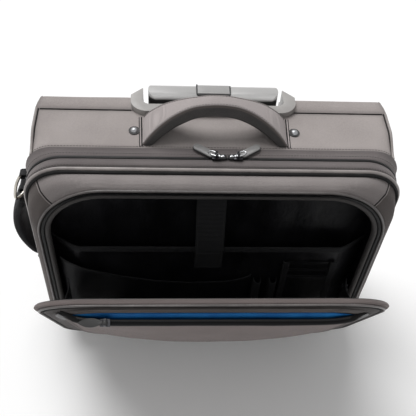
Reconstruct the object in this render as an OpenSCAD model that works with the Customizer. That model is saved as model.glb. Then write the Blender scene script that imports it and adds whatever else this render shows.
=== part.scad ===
// Rolling business case: boxed main compartment, zipped front section with a drop-down flap,
// telescopic trolley handle, two rear wheels, padded carry handle and a side grab handle.
// X runs to the right, Y to the back, Z up from the floor. Built about the front rim, then centred.

/* [Case] */
// Width over the front rim
rim_w = 440; // [432:1:450]
// Height from the floor to the top panel
case_h = 345; // [340:1:360]
// Height of the underside above the floor
base_z = 20; // [19:1:22]
// Depth from the front rim to the back panel
case_d = 120; // [120:1:128]
// Width of the boxed main compartment
body_w = 431; // [426:1:431]
// Corner radius of the front rim
rim_r = 48; // [44:1:50]
// Radius of the rounded top back edge
back_r = 6; // [5:0.5:8]
// Thickness of the padded panels
wall = 4; // [3:0.5:4]

/* [Front section] */
// Distance from the rim back to the main zip
zip_y = 17; // [17:1:20]
// Distance from the rim back to the end of the rear zip band
band_y = 32; // [32:1:34]
// Distance from the rim forward to the flap opening
opening_y = 24; // [24:1:25]
// Radius of the piping round the rim
piping_r = 2.6; // [2:0.1:2.6]
// Height of the padded sleeve's hem above the floor
sleeve_z = 214; // [200:1:216]
// Height that the organizer pocket's sagging mouth is measured from
pocket_z = 142; // [120:1:142]

/* [Flap] */
// Angle that the flap stands open at rest
flap_open = 24; // [20:1:24]
// Half width of the flap at its zip
flap_hw = 195; // [192:1:195]
// Height of the flap's top edge when it is shut
flap_top = 335; // [330:1:335]
// Corner radius at the flap's top
flap_r = 60; // [50:1:60]
// Corner radius at the flap's foot
flap_foot_r = 70; // [64:1:70]
// How far the flap pocket bulges from the flap's inner face
pocket_bulge = 36; // [34:1:40]

/* [Handles] */
// Half length of the carry handle's arch
handle_half = 88; // [80:1:88]
// Rise of the carry handle's top face
handle_rise = 50; // [46:1:56]
// How far the side handle stands out from the middle of the case
side_reach = 255; // [252:1:258]

/* [Trolley] */
// Half distance between the tubes
tube_x = 62; // [58:1:62]
// Half length of the grip
grip_hw = 80; // [78:1:82]
// Travel of the lock button
button_travel = 4; // [3:0.5:4]
// Back face of the trolley cover, measured from the rim
cover_y = 137; // [137:1:139]

/* [Wheels] */
// Wheel radius
wheel_r = 30; // [28:1:30]
// Wheel width
wheel_w = 22; // [18:1:22]
// Half distance between the wheels' mid planes
wheel_x = 188; // [186:1:188]
// Axle radius
axle_r = 4; // [3:0.5:4]

/* [Hidden] */
$fn = 64;
gap = 0.3;
round_off = 32;
rim_hw = rim_w / 2;
body_hw = body_w / 2;
seam_y = 98;
hinge_band_z = 60;
piping_in = 0.6;
// Flap hinge line
flap_hinge_y = -opening_y - 2;
flap_hinge_z = 40;
// Recess round the trolley grip
well_hw = 86.5;
well_y = 101;
well_z = case_h - 27;
bezel_hw = 101;
bezel_y = 88;
bezel_h = 8;
bezel_floor = 4;
bezel_rim = 4;
grip_y = 121;
grip_d = 24;
grip_z = case_h - 8;
grip_h = 22;
grip_split = case_h + 4;
tube_y = 127;
tube_w = 24;
tube_d = 12.6;
tube_t = 0.9;
tube_clear = 0.4;
tube_step = tube_t + tube_clear;
foot_z = 44;
// Wheel housings in the lower back corners
house_x = 158.3;
house_y = 74.3;
house_z = 67.7;
house_low = 12;
house_back = 128;
house_r = 12;
wheel_y = 112;
hub_r = 19;
// Zip sliders: block, hinge posts and leaf shaped pulls
slider_l = 10;
slider_w = 8;
slider_h = 3.1;
pin_z = 6;
pull_l = 27;
pull_neck = 1.6;
pull_w = 9.5;
pull_t = 1.8;
pull_droop = 10;
pull_yaw = 22;
left_slider_x = 0;
right_slider_x = 25;
slider_z = case_h + 1.6;
side_slider_x = 188.5;
side_slider_y = -15;
side_slider_z = 133;
pocket_slider_x = -118;
// Side handle on the left
side_y = 54;
side_mid_z = 197;
side_arc_r = 100;
side_high = 244;
side_low = 126;
side_t = 14;
side_hw = 20;
ring_x = -229;
ring_z = 296;
ring_leg = 28;
ring_tilt = 15;
low_ring_x = -222.5;
low_ring_z = 104;
low_ring_tilt = 30;
ring_r = 19;
ring_wire = 2;
// Flap pocket
mouth_z = flap_top - 17;
panel_in = 11.2;
panel_out = 14;
tape_in = 22.4;
// Centring of the whole, from its outermost points at rest
post_top = mouth_z + 9.5 - flap_hinge_z;
post_out = 27.9;
reach_front = post_top * sin(flap_open) + post_out * cos(flap_open) - flap_hinge_y;
reach_right = rim_hw - piping_in + piping_r;
shift_x = (side_reach - reach_right) / 2;
shift_y = (reach_front - wheel_y - wheel_r) / 2;

// Radius of an arc with a given half chord and rise
function arc_r(half, rise) = (half * half + rise * rise) / (2 * rise);

// Box between two corners
module block(lo, hi) {
  translate(lo)
    cube(hi - lo);
}

// Upright outline extruded from one depth to another
module across(y0, y1) {
  translate([0, y1, 0])
    rotate([90, 0, 0])
      linear_extrude(y1 - y0)
        children();
}

// Side profile extruded from one X to another
module along(x0, x1) {
  translate([x0, 0, 0])
    rotate([90, 0, 90])
      linear_extrude(x1 - x0)
        children();
}

// Plan extruded from one height to another
module rising(z0, z1) {
  translate([0, 0, z0])
    linear_extrude(z1 - z0)
      children();
}

// Upright outline with one radius for its top corners and one for its bottom corners
module outline(hw, z0, z1, rt, rb) {
  translate([-hw, z0 + rb])
    square([2 * hw, z1 - z0 - rt - rb]);
  translate([rb - hw, z0])
    square([2 * (hw - rb), 2 * rb]);
  translate([rt - hw, z1 - 2 * rt])
    square([2 * (hw - rt), 2 * rt]);
  for (s = [-1, 1]) {
    translate([s * (hw - rb), z0 + rb])
      circle(r = rb);
    translate([s * (hw - rt), z1 - rt])
      circle(r = rt);
  }
}

// Rim outline drawn in by a margin
module rim_outline(m) {
  outline(rim_hw - m, base_z + m, case_h - m, rim_r - m, rim_r - m);
}

// Wall that follows the rim outline
module rim_wall() {
  difference() {
    rim_outline(0);
    rim_outline(wall);
  }
}

// Rounded plan rectangle about a centre
module plan(w, d, r) {
  square([w - 2 * r, d], center = true);
  square([w, d - 2 * r], center = true);
  for (sx = [-1, 1], sy = [-1, 1])
    translate([sx * (w / 2 - r), sy * (d / 2 - r)])
      circle(r = r);
}

// Round bar along X
module bar_x(x0, x1, y, z, r) {
  translate([x0, y, z])
    rotate([0, 90, 0])
      cylinder(h = x1 - x0, r = r);
}

// Quarter of a piping ring in an upright plane across the case
module bend(x, z, r, start, pr) {
  translate([x, 0, z])
    rotate([90, 0, 0])
      rotate([0, 0, start])
        rotate_extrude(angle = 90)
          translate([r, 0])
            circle(r = pr);
}

// Piping along an upright outline
module piping_loop(hw, z0, z1, rt, rb, pr) {
  bar_x(rb - hw, hw - rb, 0, z0, pr);
  bar_x(rt - hw, hw - rt, 0, z1, pr);
  for (s = [-1, 1])
    translate([s * hw, 0, z0 + rb])
      cylinder(h = z1 - z0 - rt - rb, r = pr);
  bend(hw - rt, z1 - rt, rt, 0, pr);
  bend(rt - hw, z1 - rt, rt, 90, pr);
  bend(rb - hw, z0 + rb, rb, 180, pr);
  bend(hw - rb, z0 + rb, rb, 270, pr);
}

// Side profile of the main compartment, drawn in by a margin
module body_profile(m) {
  translate([band_y + gap, base_z])
    square([case_d - m - back_r - band_y - gap + m, case_h - m - base_z]);
  translate([band_y + gap, base_z])
    square([case_d - m - band_y - gap, case_h - back_r - base_z]);
  translate([case_d - back_r, case_h - back_r])
    circle(r = back_r - m);
}

// Thin relief cuts where a band turns its rounded corners, about the corners' centres
module relief_cuts(x, z0, z1) {
  for (s = [0, 1], t = [0, 1], a = [0 : 22.5 : 90])
    mirror([s, 0, 0])
      translate([x, -2 * opening_y, t * z1 + (1 - t) * z0])
        mirror([0, 0, 1 - t])
          rotate([0, -a, 0])
            cube([2 * rim_r, 4 * opening_y, 0.2]);
}

// Space kept for the wheel housings
module wheel_corners(m) {
  for (s = [0, 1])
    mirror([s, 0, 0])
      block([house_x - m, house_y - m, 0], [rim_w, 2 * case_d, house_z + m]);
}

// Flat panel between the side panels, from the rear zip band back to a depth
module panel_block(back, z) {
  hw = body_hw - wall - gap;
  block([-hw, band_y + gap, z], [hw, back, z + wall]);
}

module top_panel() {
  color("#8d8884")
    difference() {
      panel_block(seam_y - gap, case_h - wall);
      rivet_holes();
    }
}

// Rivet positions beside the carry handle's feet
module at_rivets() {
  for (s = [-1, 1])
    translate([s * 95, 61.5, 0])
      children();
}

// Clearance holes for the rivet shanks
module rivet_holes() {
  at_rivets()
    translate([0, 0, case_h - 10])
      cylinder(h = 20, r = 2.15);
}

module back_panel() {
  notch_hw = well_hw + bezel_rim + gap;
  color("#6f6a68")
    difference() {
      along(-body_hw + wall + gap, body_hw - wall - gap)
        difference() {
          body_profile(0);
          body_profile(wall);
          square([seam_y, case_h + wall]);
          square([case_d - wall, case_h - back_r]);
        }
      block([-notch_hw, 0, well_z - bezel_floor - gap], [notch_hw, case_d * 2, case_h * 2]);
      wheel_corners(gap);
    }
}

// Side panel on the right, with its corner cut for the wheel housing
module side_wall() {
  difference() {
    along(body_hw - wall, body_hw)
      body_profile(0);
    wheel_corners(gap);
  }
}

module right_side_panel() {
  color("#7b7673")
    side_wall();
}

module left_side_panel() {
  color("#7b7673")
    mirror([1, 0, 0])
      side_wall();
}

module bottom_panel() {
  color("#4a4746")
    difference() {
      panel_block(case_d - wall - gap, base_z);
      wheel_corners(gap);
    }
}

module rear_zip_band() {
  flange = 2.2;
  color("#6b6664")
    difference() {
      union() {
        across(zip_y + gap, band_y - flange)
          rim_wall();
        across(band_y - flange, band_y - gap)
          difference() {
            union() {
              rim_outline(0);
              translate([-body_hw, base_z])
                square([body_w, case_h - base_z]);
            }
            rim_outline(wall);
          }
        across(piping_r + 0.8, zip_y + gap)
          intersection() {
            rim_wall();
            translate([-rim_w, 0])
              square([2 * rim_w, hinge_band_z - gap]);
          }
      }
      relief_cuts(rim_hw - rim_r, base_z + rim_r, case_h - rim_r);
    }
}

module side_piping() {
  pr = 2.2;
  off = pr + 0.2;
  color("#a39e9a")
    for (s = [-1, 1])
      translate([s * (body_hw - pr), 0, 0]) {
        translate([0, band_y, case_h + off])
          rotate([-90, 0, 0])
            cylinder(h = case_d - back_r - band_y, r = pr);
        translate([0, case_d - back_r, case_h - back_r])
          rotate([0, 90, 0])
            rotate([0, 0, 90])
              rotate_extrude(angle = 90)
                translate([back_r + off, 0])
                  circle(r = pr);
        translate([0, case_d + off, house_z + gap])
          cylinder(h = case_h - back_r - house_z - gap, r = pr);
      }
}

// Arched band standing on its chord
module arch(half, rise, half_in, rise_in) {
  ro = arc_r(half, rise);
  ri = arc_r(half_in, rise_in);
  intersection() {
    difference() {
      translate([0, rise - ro])
        circle(r = ro);
      translate([0, rise_in - ri])
        circle(r = ri);
    }
    translate([-2 * half, 0])
      square([4 * half, 2 * rise]);
  }
}

module carry_handle() {
  foot_hw = 24;
  mid_hw = 10;
  color("#b4afab")
    translate([0, 61, case_h + 0.1])
      intersection() {
        across(-foot_hw, foot_hw)
          arch(handle_half, handle_rise, handle_half - 14, handle_rise - 17);
        rising(0, 2 * handle_rise)
          polygon([for (m = [1, -1], s = [-1, -0.8, -0.3, 0.3, 0.8, 1])
            [m * s * 1.2 * handle_half, m * (abs(s) < 0.5 ? mid_hw : foot_hw)]]);
      }
}

module handle_anchor_plate() {
  color("#2b2b2d")
    difference() {
      block([-112, 40, case_h - wall - 1.9], [112, 83, case_h - wall - 0.3]);
      rivet_holes();
    }
}

module handle_rivets() {
  dome_r = 4.6;
  color("#d4d6d8")
    at_rivets() {
      translate([0, 0, case_h + 1.3])
        intersection() {
          translate([0, 0, -2])
            sphere(r = dome_r + 0.6);
          cylinder(h = dome_r, r = dome_r);
        }
      translate([0, 0, case_h - wall - 3])
        cylinder(h = wall + 4.6, r = 2);
      translate([0, 0, case_h - wall - 3.2])
        cylinder(h = 1.1, r = 3.6);
    }
}

module rivet_washers() {
  color("#18181a")
    at_rivets()
      difference() {
        translate([0, 0, case_h + 0.1])
          cylinder(h = 1.1, r = 6.6);
        translate([0, 0, case_h - 1])
          cylinder(h = 4, r = 2.15);
      }
}

// Plan of the recess inside the bezel
module well_plan() {
  r = 8;
  translate([-well_hw, well_y + r])
    square([2 * well_hw, case_d]);
  translate([r - well_hw, well_y])
    square([2 * (well_hw - r), 2 * r]);
  for (s = [-1, 1])
    translate([s * (well_hw - r), well_y + r])
      circle(r = r);
}

// Plan of the bezel's raised collar
module collar_plan() {
  r = 20;
  translate([-bezel_hw, bezel_y + r])
    square([2 * bezel_hw, cover_y - bezel_y - r]);
  translate([r - bezel_hw, bezel_y])
    square([2 * (bezel_hw - r), 2 * r]);
  for (s = [-1, 1])
    translate([s * (bezel_hw - r), bezel_y + r])
      circle(r = r);
}

// One stage of the telescopic tubes, by how many steps it is nested
module tube_plan(n, extra) {
  for (s = [-1, 1])
    translate([s * tube_x, tube_y])
      plan(tube_w - 2 * n * tube_step + 2 * extra, tube_d - 2 * n * tube_step + 2 * extra, 2.2);
}

// Pair of tubes of one stage
module tube_pair(n, z0, z1) {
  rising(z0, z1)
    difference() {
      tube_plan(n, 0);
      tube_plan(n, -tube_t);
    }
}

// Plan of the bezel below its collar, open to the back
module bezel_plan() {
  wall_hw = well_hw + bezel_rim;
  translate([-wall_hw, seam_y])
    square([2 * wall_hw, cover_y - seam_y]);
  translate([-bezel_hw, case_d + gap])
    square([2 * bezel_hw, cover_y - case_d - gap]);
}

// Room cut away behind the bezel's curled ears
module ear_cuts() {
  for (s = [-1, 1])
    polygon([[s * (bezel_hw + 1), case_d - 4], [s * (well_hw - 1), case_d + 11],
      [s * (well_hw - 1), 2 * case_d], [s * (bezel_hw + 1), 2 * case_d]]);
}

module trolley_bezel() {
  top = case_h + 0.2;
  sill = well_z + 10;
  color("#c9c9c8") {
    rising(top, case_h + bezel_h)
      difference() {
        collar_plan();
        well_plan();
        ear_cuts();
      }
    rising(sill, top)
      difference() {
        bezel_plan();
        well_plan();
        ear_cuts();
        translate([-rim_w, case_d])
          square([rim_w - well_hw - bezel_rim, case_d]);
        translate([well_hw + bezel_rim, case_d])
          square([rim_w, case_d]);
      }
    rising(well_z, sill)
      difference() {
        bezel_plan();
        well_plan();
      }
    rising(well_z - bezel_floor, well_z)
      difference() {
        bezel_plan();
        tube_plan(1, tube_clear);
      }
  }
}

module trolley_cover() {
  skin = 3.2;
  low = 40;
  high = well_z - bezel_floor - gap;
  color("#3a3938")
    difference() {
      rising(low, high)
        intersection() {
          translate([0, cover_y - 20])
            plan(2 * bezel_hw, 40, 9);
          translate([-bezel_hw, case_d + gap])
            square([2 * bezel_hw, cover_y - case_d - gap]);
        }
      block([-bezel_hw + skin, case_d - 1, low + skin], [bezel_hw - skin, cover_y - skin, high + 1]);
      screw_holes(2.1);
      at_screws()
        translate([0, 0, -1.8])
          cylinder(h = 4, r = 4.1);
    }
}

// Screw positions on the cover's back, pointing out
module at_screws() {
  for (s = [-1, 1])
    translate([s * 34, cover_y, foot_z + 8])
      rotate([-90, 0, 0])
        children();
}

// Clearance holes for the cover screws
module screw_holes(r) {
  at_screws()
    translate([0, 0, -12])
      cylinder(h = 14, r = r);
}

module trolley_screws() {
  color("#8f9194")
    at_screws() {
      translate([0, 0, -1.7])
        cylinder(h = 1.5, r = 3.8);
      translate([0, 0, -11.5])
        cylinder(h = 10, r = 1.9);
    }
}

module tube_foot() {
  color("#2c2c2e")
    difference() {
      block([-90, case_d + 0.6, foot_z], [90, cover_y - 3.4, foot_z + 16]);
      translate([0, 0, foot_z + 2])
        linear_extrude(20)
          tube_plan(0, 0.1);
      screw_holes(2);
    }
}

module outer_tubes() {
  color("#b9bcc0")
    tube_pair(0, foot_z + 2.2, well_z - bezel_floor - gap);
}

module mid_tubes() {
  color("#c3c6ca")
    tube_pair(1, foot_z + 6, well_z + 4.6);
}

module mid_collars() {
  color("#2c2c2e")
    rising(well_z + gap, well_z + 4.6)
      difference() {
        tube_plan(0, 0);
        tube_plan(1, 0.1);
      }
}

module inner_tubes() {
  color("#cfd2d6")
    tube_pair(2, foot_z + 10, grip_z + 3);
}

// Rounded bar of the grip between two heights
module grip_bar(z0, z1) {
  intersection() {
    rising(z0, z1)
      translate([0, grip_y])
        plan(2 * grip_hw, grip_d, 11.5);
    along(-grip_hw, grip_hw)
      translate([grip_y, grip_z + grip_h / 2])
        plan(grip_d, grip_h, 8);
  }
}

// Hollow for the lock yoke inside the grip
module yoke_room() {
  block([-70, 119, grip_z + 3.2], [70, 131.4, grip_split + 4]);
}

module grip_lower() {
  color("#c9c9c8")
    difference() {
      union() {
        grip_bar(grip_z, grip_split);
        rising(grip_z - 10, grip_z + 3)
          tube_plan(1, 1);
      }
      yoke_room();
      translate([0, 0, grip_z - 20])
        linear_extrude(40)
          tube_plan(2, 0.1);
    }
}

module grip_upper() {
  color("#d2d2d1")
    difference() {
      grip_bar(grip_split + 0.1, grip_z + grip_h);
      yoke_room();
      block([-20, 113, grip_split - 1], [20, 129, case_h * 2]);
    }
}

module grip_button() {
  lip = 0.4;
  yoke_z = grip_split - button_travel;
  color("#dcdcdb") {
    block([-20 + lip, 113 + lip, grip_split + 4.2], [20 - lip, 129 - lip, grip_z + grip_h + 1]);
    block([-6, 120, yoke_z], [6, 128, grip_split + 4.2]);
    block([-66, 123.5, yoke_z], [66, 130.5, grip_split]);
  }
}

module lock_rods() {
  color("#9a9da1")
    for (s = [-1, 1])
      translate([s * tube_x, tube_y, foot_z + 20])
        cylinder(h = grip_split - button_travel - foot_z - 20, r = 1.6);
}

// Wheel housing on the right: a block with the wheel well and the axle's bore
module housing() {
  difference() {
    along(house_x, body_hw)
      difference() {
        union() {
          translate([house_y, house_low])
            square([house_back - house_y - house_r, house_z - house_low]);
          translate([house_y, house_low + house_r])
            square([house_back - house_y, house_z - house_low - 2 * house_r]);
          for (z = [house_low + house_r, house_z - house_r])
            translate([house_back - house_r, z])
              circle(r = house_r);
        }
        translate([wheel_y, wheel_r])
          circle(r = axle_r + 0.05);
      }
    bar_x(wheel_x - wheel_w / 2 - 2.5, wheel_x + wheel_w / 2 + 2.5, wheel_y, wheel_r, wheel_r + 3.5);
    bar_x(body_hw - 3, body_hw + 1, wheel_y, wheel_r, 7.2);
  }
}

module right_wheel_housing() {
  color("#232324")
    housing();
}

module left_wheel_housing() {
  color("#232324")
    mirror([1, 0, 0])
      housing();
}

module wheel_axles() {
  color("#a7aaad")
    for (s = [0, 1])
      mirror([s, 0, 0]) {
        bar_x(house_x + 1, body_hw - 1, wheel_y, wheel_r, axle_r);
        bar_x(body_hw - 2.8, body_hw - 0.4, wheel_y, wheel_r, 7);
      }
}

// Tyre on the right, with rounded shoulders
module tyre() {
  r = 5;
  translate([wheel_x, wheel_y, wheel_r])
    rotate([0, 90, 0])
      rotate_extrude()
        difference() {
          union() {
            translate([hub_r + 0.05, -wheel_w / 2])
              square([wheel_r - hub_r - r, wheel_w]);
            translate([hub_r + 0.05, r - wheel_w / 2])
              square([wheel_r - hub_r - 0.05, wheel_w - 2 * r]);
            for (s = [-1, 1])
              translate([wheel_r - r, s * (wheel_w / 2 - r)])
                circle(r = r);
          }
          translate([wheel_r - 1, 0])
            square([2, 1.6]);
        }
}

// Hub on the right, with a running bore and a dished web
module hub() {
  translate([wheel_x, wheel_y, wheel_r])
    rotate([0, 90, 0])
      difference() {
        cylinder(h = wheel_w - 1, r = hub_r, center = true);
        cylinder(h = wheel_w + 2, r = axle_r + 0.06, center = true);
        for (s = [-1, 1])
          translate([0, 0, s * wheel_w / 2])
            difference() {
              cylinder(h = 9, r = hub_r - 3, center = true);
              cylinder(h = 12, r = axle_r + 4, center = true);
            }
      }
}

module right_tyre() {
  color("#1d1d1e")
    tyre();
}

module left_tyre() {
  color("#1d1d1e")
    mirror([1, 0, 0])
      tyre();
}

module right_hub() {
  color("#6e6f71")
    hub();
}

module left_hub() {
  color("#6e6f71")
    mirror([1, 0, 0])
      hub();
}

module front_feet() {
  color("#1f1f20")
    for (s = [-1, 1])
      translate([s * 146, 19, 0])
        rising(0, base_z - 0.1)
          plan(40, 24, 7);
}

// The two ends of the side handle: children drawn about a bar at the origin, hanging below it
module at_high_ring() {
  translate([ring_x, side_y, ring_z])
    children();
}

module at_low_ring() {
  translate([low_ring_x, side_y, low_ring_z])
    mirror([0, 0, 1])
      children();
}

// Folded tab that runs from the side panel round the ring's bar
module ring_tab(reach) {
  difference() {
    block([-4, -11, -4.5], [reach, 11, 14]);
    translate([0, -20, 0])
      rotate([-90, 0, 0])
        cylinder(h = 40, r = ring_wire + gap);
  }
}

module ring_tabs() {
  color("#2e2d2d") {
    at_high_ring()
      ring_tab(-body_hw - 0.1 - ring_x);
    at_low_ring()
      ring_tab(-body_hw - 0.1 - low_ring_x);
  }
}

// Metal ring: a straight bar in the tab, two legs and a half loop that leans out
module side_ring(leg, tilt) {
  rotate([0, tilt, 0]) {
    translate([0, -ring_r, 0])
      rotate([-90, 0, 0])
        cylinder(h = 2 * ring_r, r = ring_wire);
    for (s = [-1, 1])
      translate([0, s * ring_r, 0]) {
        sphere(r = ring_wire);
        translate([0, 0, -leg])
          cylinder(h = leg, r = ring_wire);
      }
    translate([0, 0, -leg])
      rotate([0, 90, 0])
        rotate([0, 0, -90])
          rotate_extrude(angle = 180)
            translate([ring_r, 0])
              circle(r = ring_wire);
  }
}

module side_rings() {
  color("#cdd0d3") {
    at_high_ring()
      side_ring(ring_leg, ring_tilt);
    at_low_ring()
      side_ring(0.1, low_ring_tilt);
  }
}

module side_handle() {
  color("#242424")
    intersection() {
      translate([side_arc_r - side_reach, side_y, side_mid_z])
        rotate([90, 0, 0])
          difference() {
            cylinder(h = 2 * side_hw, r = side_arc_r, center = true);
            cylinder(h = 3 * side_hw, r = side_arc_r - side_t, center = true);
          }
      block([-side_reach - 1, 0, side_low], [-body_hw - 2, case_d, side_high]);
    }
}

// Zip slider lying on XY, zip along X, with two posts and the pull's hinge pin
module slider() {
  translate([0, 0, slider_h / 2])
    cube([slider_l, slider_w, slider_h], center = true);
  for (s = [-1, 1])
    translate([0, s * 3.2, pin_z / 2 + 0.8])
      cube([2.6, 1.4, pin_z + 1.6], center = true);
  translate([0, 0, pin_z])
    rotate([90, 0, 0])
      cylinder(h = 5.6, r = 1.2, center = true);
}

// Leaf shaped pull on its eye, pointing along -X from the hinge pin
module pull(yaw, droop) {
  lr = arc_r(pull_l / 2, pull_w / 2);
  translate([0, 0, pin_z])
    difference() {
      union() {
        rotate([90, 0, 0])
          cylinder(h = 4.2, r = 2.6, center = true);
        rotate([0, -droop, yaw]) {
          block([-pull_neck - 3, -1.3, -pull_t / 2], [0, 1.3, pull_t / 2]);
          translate([-pull_l / 2 - pull_neck, 0, -pull_t / 2])
            linear_extrude(pull_t)
              intersection() {
                translate([0, lr - pull_w / 2])
                  circle(r = lr);
                translate([0, pull_w / 2 - lr])
                  circle(r = lr);
              }
        }
      }
      rotate([90, 0, 0])
        cylinder(h = 10, r = 1.5, center = true);
    }
}

// Sliders of the main zip
module at_main_zip(x) {
  translate([x, zip_y, slider_z])
    children();
}

module left_slider() {
  color("#1b1b1c")
    at_main_zip(left_slider_x)
      slider();
}

module left_pull() {
  color("#8a8786")
    at_main_zip(left_slider_x)
      pull(-pull_yaw, pull_droop);
}

module right_slider() {
  color("#1b1b1c")
    at_main_zip(right_slider_x)
      slider();
}

module right_pull() {
  color("#8a8786")
    at_main_zip(right_slider_x)
      mirror([1, 0, 0])
        pull(-pull_yaw, pull_droop);
}

module front_zip_band() {
  color("#6b6664")
    across(piping_r + 0.2, zip_y - gap)
      intersection() {
        rim_wall();
        translate([-rim_w, hinge_band_z])
          square([2 * rim_w, case_h]);
      }
}

module rim_piping() {
  m = piping_in;
  color("#b3aeaa")
    piping_loop(rim_hw - m, base_z + m, case_h - m, rim_r - m, rim_r - m, piping_r);
}

// Thin slab of an outline at a depth, as a station of a blended wall
module station(y, hw, z0, z1, r) {
  across(y - 0.4, y)
    outline(hw, z0, z1, r, r, $fn = round_off);
}

// Space inside the front gusset, drawn in by a margin
module gusset_space(m, ends) {
  hull() {
    station(-piping_r - 0.2 + ends, rim_hw - 1 - m, base_z + 1 + m, case_h - 1 - m, rim_r - 1 - m);
    station(-16, rim_hw - 4 - m, base_z + 6 + m, case_h - 3.5 - m, rim_r + 4 - m);
    station(-opening_y + 0.4 - ends, rim_hw - 11 - m, base_z + 14 + m, case_h - 8.5 - m, rim_r + 10 - m);
  }
}

module front_gusset() {
  color("#837e7b")
    difference() {
      gusset_space(0, 0);
      gusset_space(3.5, 0.5);
    }
}

module opening_zip_tape() {
  color("#39383a")
    difference() {
      across(-opening_y - 1.4, -opening_y - 0.2)
        intersection() {
          difference() {
            outline(208.5, base_z + 16, case_h - 9, 57, 57);
            outline(194.5, base_z + 30, case_h - 23, 44, 44);
          }
          translate([-rim_w, hinge_band_z])
            square([2 * rim_w, case_h]);
        }
      relief_cuts(rim_hw - 69, base_z + 73.5, case_h - 66.5);
    }
}

module divider_panel() {
  m = wall + 0.5;
  color("#1c1c1e")
    across(zip_y - 4.5, zip_y - 1.5)
      rim_outline(m);
}

// Plan of the sleeve's front: flat in the middle, drawn back to the divider at the sides
module sleeve_plan(t) {
  side = [[203, 11.8], [203, 9], [167, -9.5 - t]];
  back = [[165.5, -9.5], [201, 11.8]];
  polygon([
    for (p = side) p,
    for (i = [2, 1, 0]) [-side[i][0], side[i][1]],
    for (i = [1, 0]) [-back[i][0], back[i][1]],
    for (p = back) p
  ]);
}

module laptop_sleeve() {
  hem = 7;
  color("#19191b") {
    rising(base_z + 20, sleeve_z - hem)
      sleeve_plan(2.5);
    rising(sleeve_z - hem, sleeve_z)
      sleeve_plan(3.2);
  }
}

module organizer_pocket() {
  left = -192;
  right = 58;
  low = 54;
  sheet = 1.6;
  front = -21;
  back = -12.3;
  mouth = [[right, pocket_z + 15], [-24, pocket_z + 6], [-120, pocket_z + 23], [left, pocket_z + 54]];
  color("#202022")
    difference() {
      across(front, back)
        polygon([[left, low], [right, low], for (p = mouth) p]);
      block([left + sheet, front + sheet, low + sheet], [right - sheet, back + 1, case_h]);
    }
}

module pen_loops() {
  out = 11;
  color("#262628")
    for (x = [61, 82])
      difference() {
        block([x, -22.6, 62], [x + out, -12.3, 147]);
        block([x + 1, -21.6, 61], [x + out - 1, -13.2, 148]);
      }
}

module card_pockets() {
  layer = 1.2;
  drop = 14;
  color("#202022")
    for (i = [0, 1, 2])
      block([101, -12.3 - layer * (i + 1), 56], [163, -12.3 - layer * i, 186 - drop * i]);
}

// Hook-and-loop strap over the sleeve's mouth, sewn to the divider at its top
module laptop_strap() {
  top = [9.6, 303.5];
  knee = [-15.2, 217];
  low = 172;
  t = 2;
  color("#2a2a2c")
    translate([-2, 0, 0]) {
      along(-18, 18)
        polygon([
          top,
          [top[0], top[1] - 5],
          [knee[0] + t, knee[1]],
          [knee[0] + t, low],
          [knee[0], low],
          [knee[0], knee[1] + 1]
        ]);
      bar_x(-18, 18, top[0], top[1], 2);
    }
}

// Turns a slider so that its zip runs up the front
module facing_front() {
  translate([side_slider_x, side_slider_y, side_slider_z])
    rotate([0, -90, 90])
      children();
}

module flap_slider() {
  color("#1b1b1c")
    facing_front()
      slider();
}

module flap_pull() {
  color("#8a8786")
    facing_front()
      pull(0, 0);
}

// Flap parts are drawn shut and turned open about the flap's hinge line
module flap_pose() {
  translate([0, flap_hinge_y, flap_hinge_z])
    rotate([flap_open, 0, 0])
      translate([0, -flap_hinge_y, -flap_hinge_z])
        children();
}

// Flap layer between two distances from its inner face
module flap_layer(d0, d1) {
  across(flap_hinge_y - d1, flap_hinge_y - d0)
    children();
}

// Flap outline drawn in by a margin
module flap_outline(m) {
  outline(flap_hw - m, flap_hinge_z + 2 + m, flap_top - m, flap_r - m, flap_foot_r - m);
}

module flap_zip_tape() {
  color("#39383a")
    flap_pose()
      flap_layer(0.6, 2)
        difference() {
          flap_outline(0);
          flap_outline(8);
          translate([-rim_w, 0])
            square([2 * rim_w, hinge_band_z]);
        }
}

// Thin slab of a flap outline, as a station of a padded layer
module flap_station(d, hw, low, high, rt, rb) {
  flap_layer(d, d + 0.4)
    outline(hw, low, high, rt, rb, $fn = round_off);
}

// Padded flap, thick along its top and thin down its sides, drawn in by a margin
module flap_pad(m, d) {
  low = flap_hinge_z + 2;
  hull() {
    flap_station(d, flap_hw - m, low + m, flap_top - m, flap_r - m, flap_foot_r - m);
    flap_station(panel_out - 0.4 - m * 0.7, flap_hw - 30 - m, low + 58 + m, flap_top - m, 50 - m, 60 - m);
  }
}

module flap_gusset() {
  hem = 130;
  color("#837e7b")
    flap_pose() {
      intersection() {
        difference() {
          flap_pad(0, 2.2);
          flap_pad(wall, 2);
        }
        flap_layer(0, panel_in - 0.2)
          translate([-rim_w, 0])
            square([2 * rim_w, case_h]);
      }
      flap_layer(0, 2.4)
        translate([-hem, flap_hinge_z])
          square([2 * hem, 5]);
      bar_x(-hem, hem, flap_hinge_y, flap_hinge_z, 1.7);
    }
}

module flap_panel() {
  color("#5f5b5a")
    flap_pose()
      intersection() {
        flap_pad(0, 2.2);
        flap_layer(panel_in, panel_out)
          translate([-rim_w, 0])
            square([2 * rim_w, case_h]);
      }
}

module flap_piping() {
  d = 8;
  off = 2.6;
  color("#b3aeaa")
    flap_pose()
      translate([0, flap_hinge_y - d, 0])
        piping_loop(flap_hw - 7.8, flap_hinge_z + 18, flap_top + off, flap_r - 2, flap_foot_r - 4, 2.2);
}

module pocket_lining() {
  color("#0f508f")
    flap_pose()
      flap_layer(panel_out + 0.2, panel_out + 1.2)
        outline(160, 112, flap_top - 8, 40, 50);
}

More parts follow.
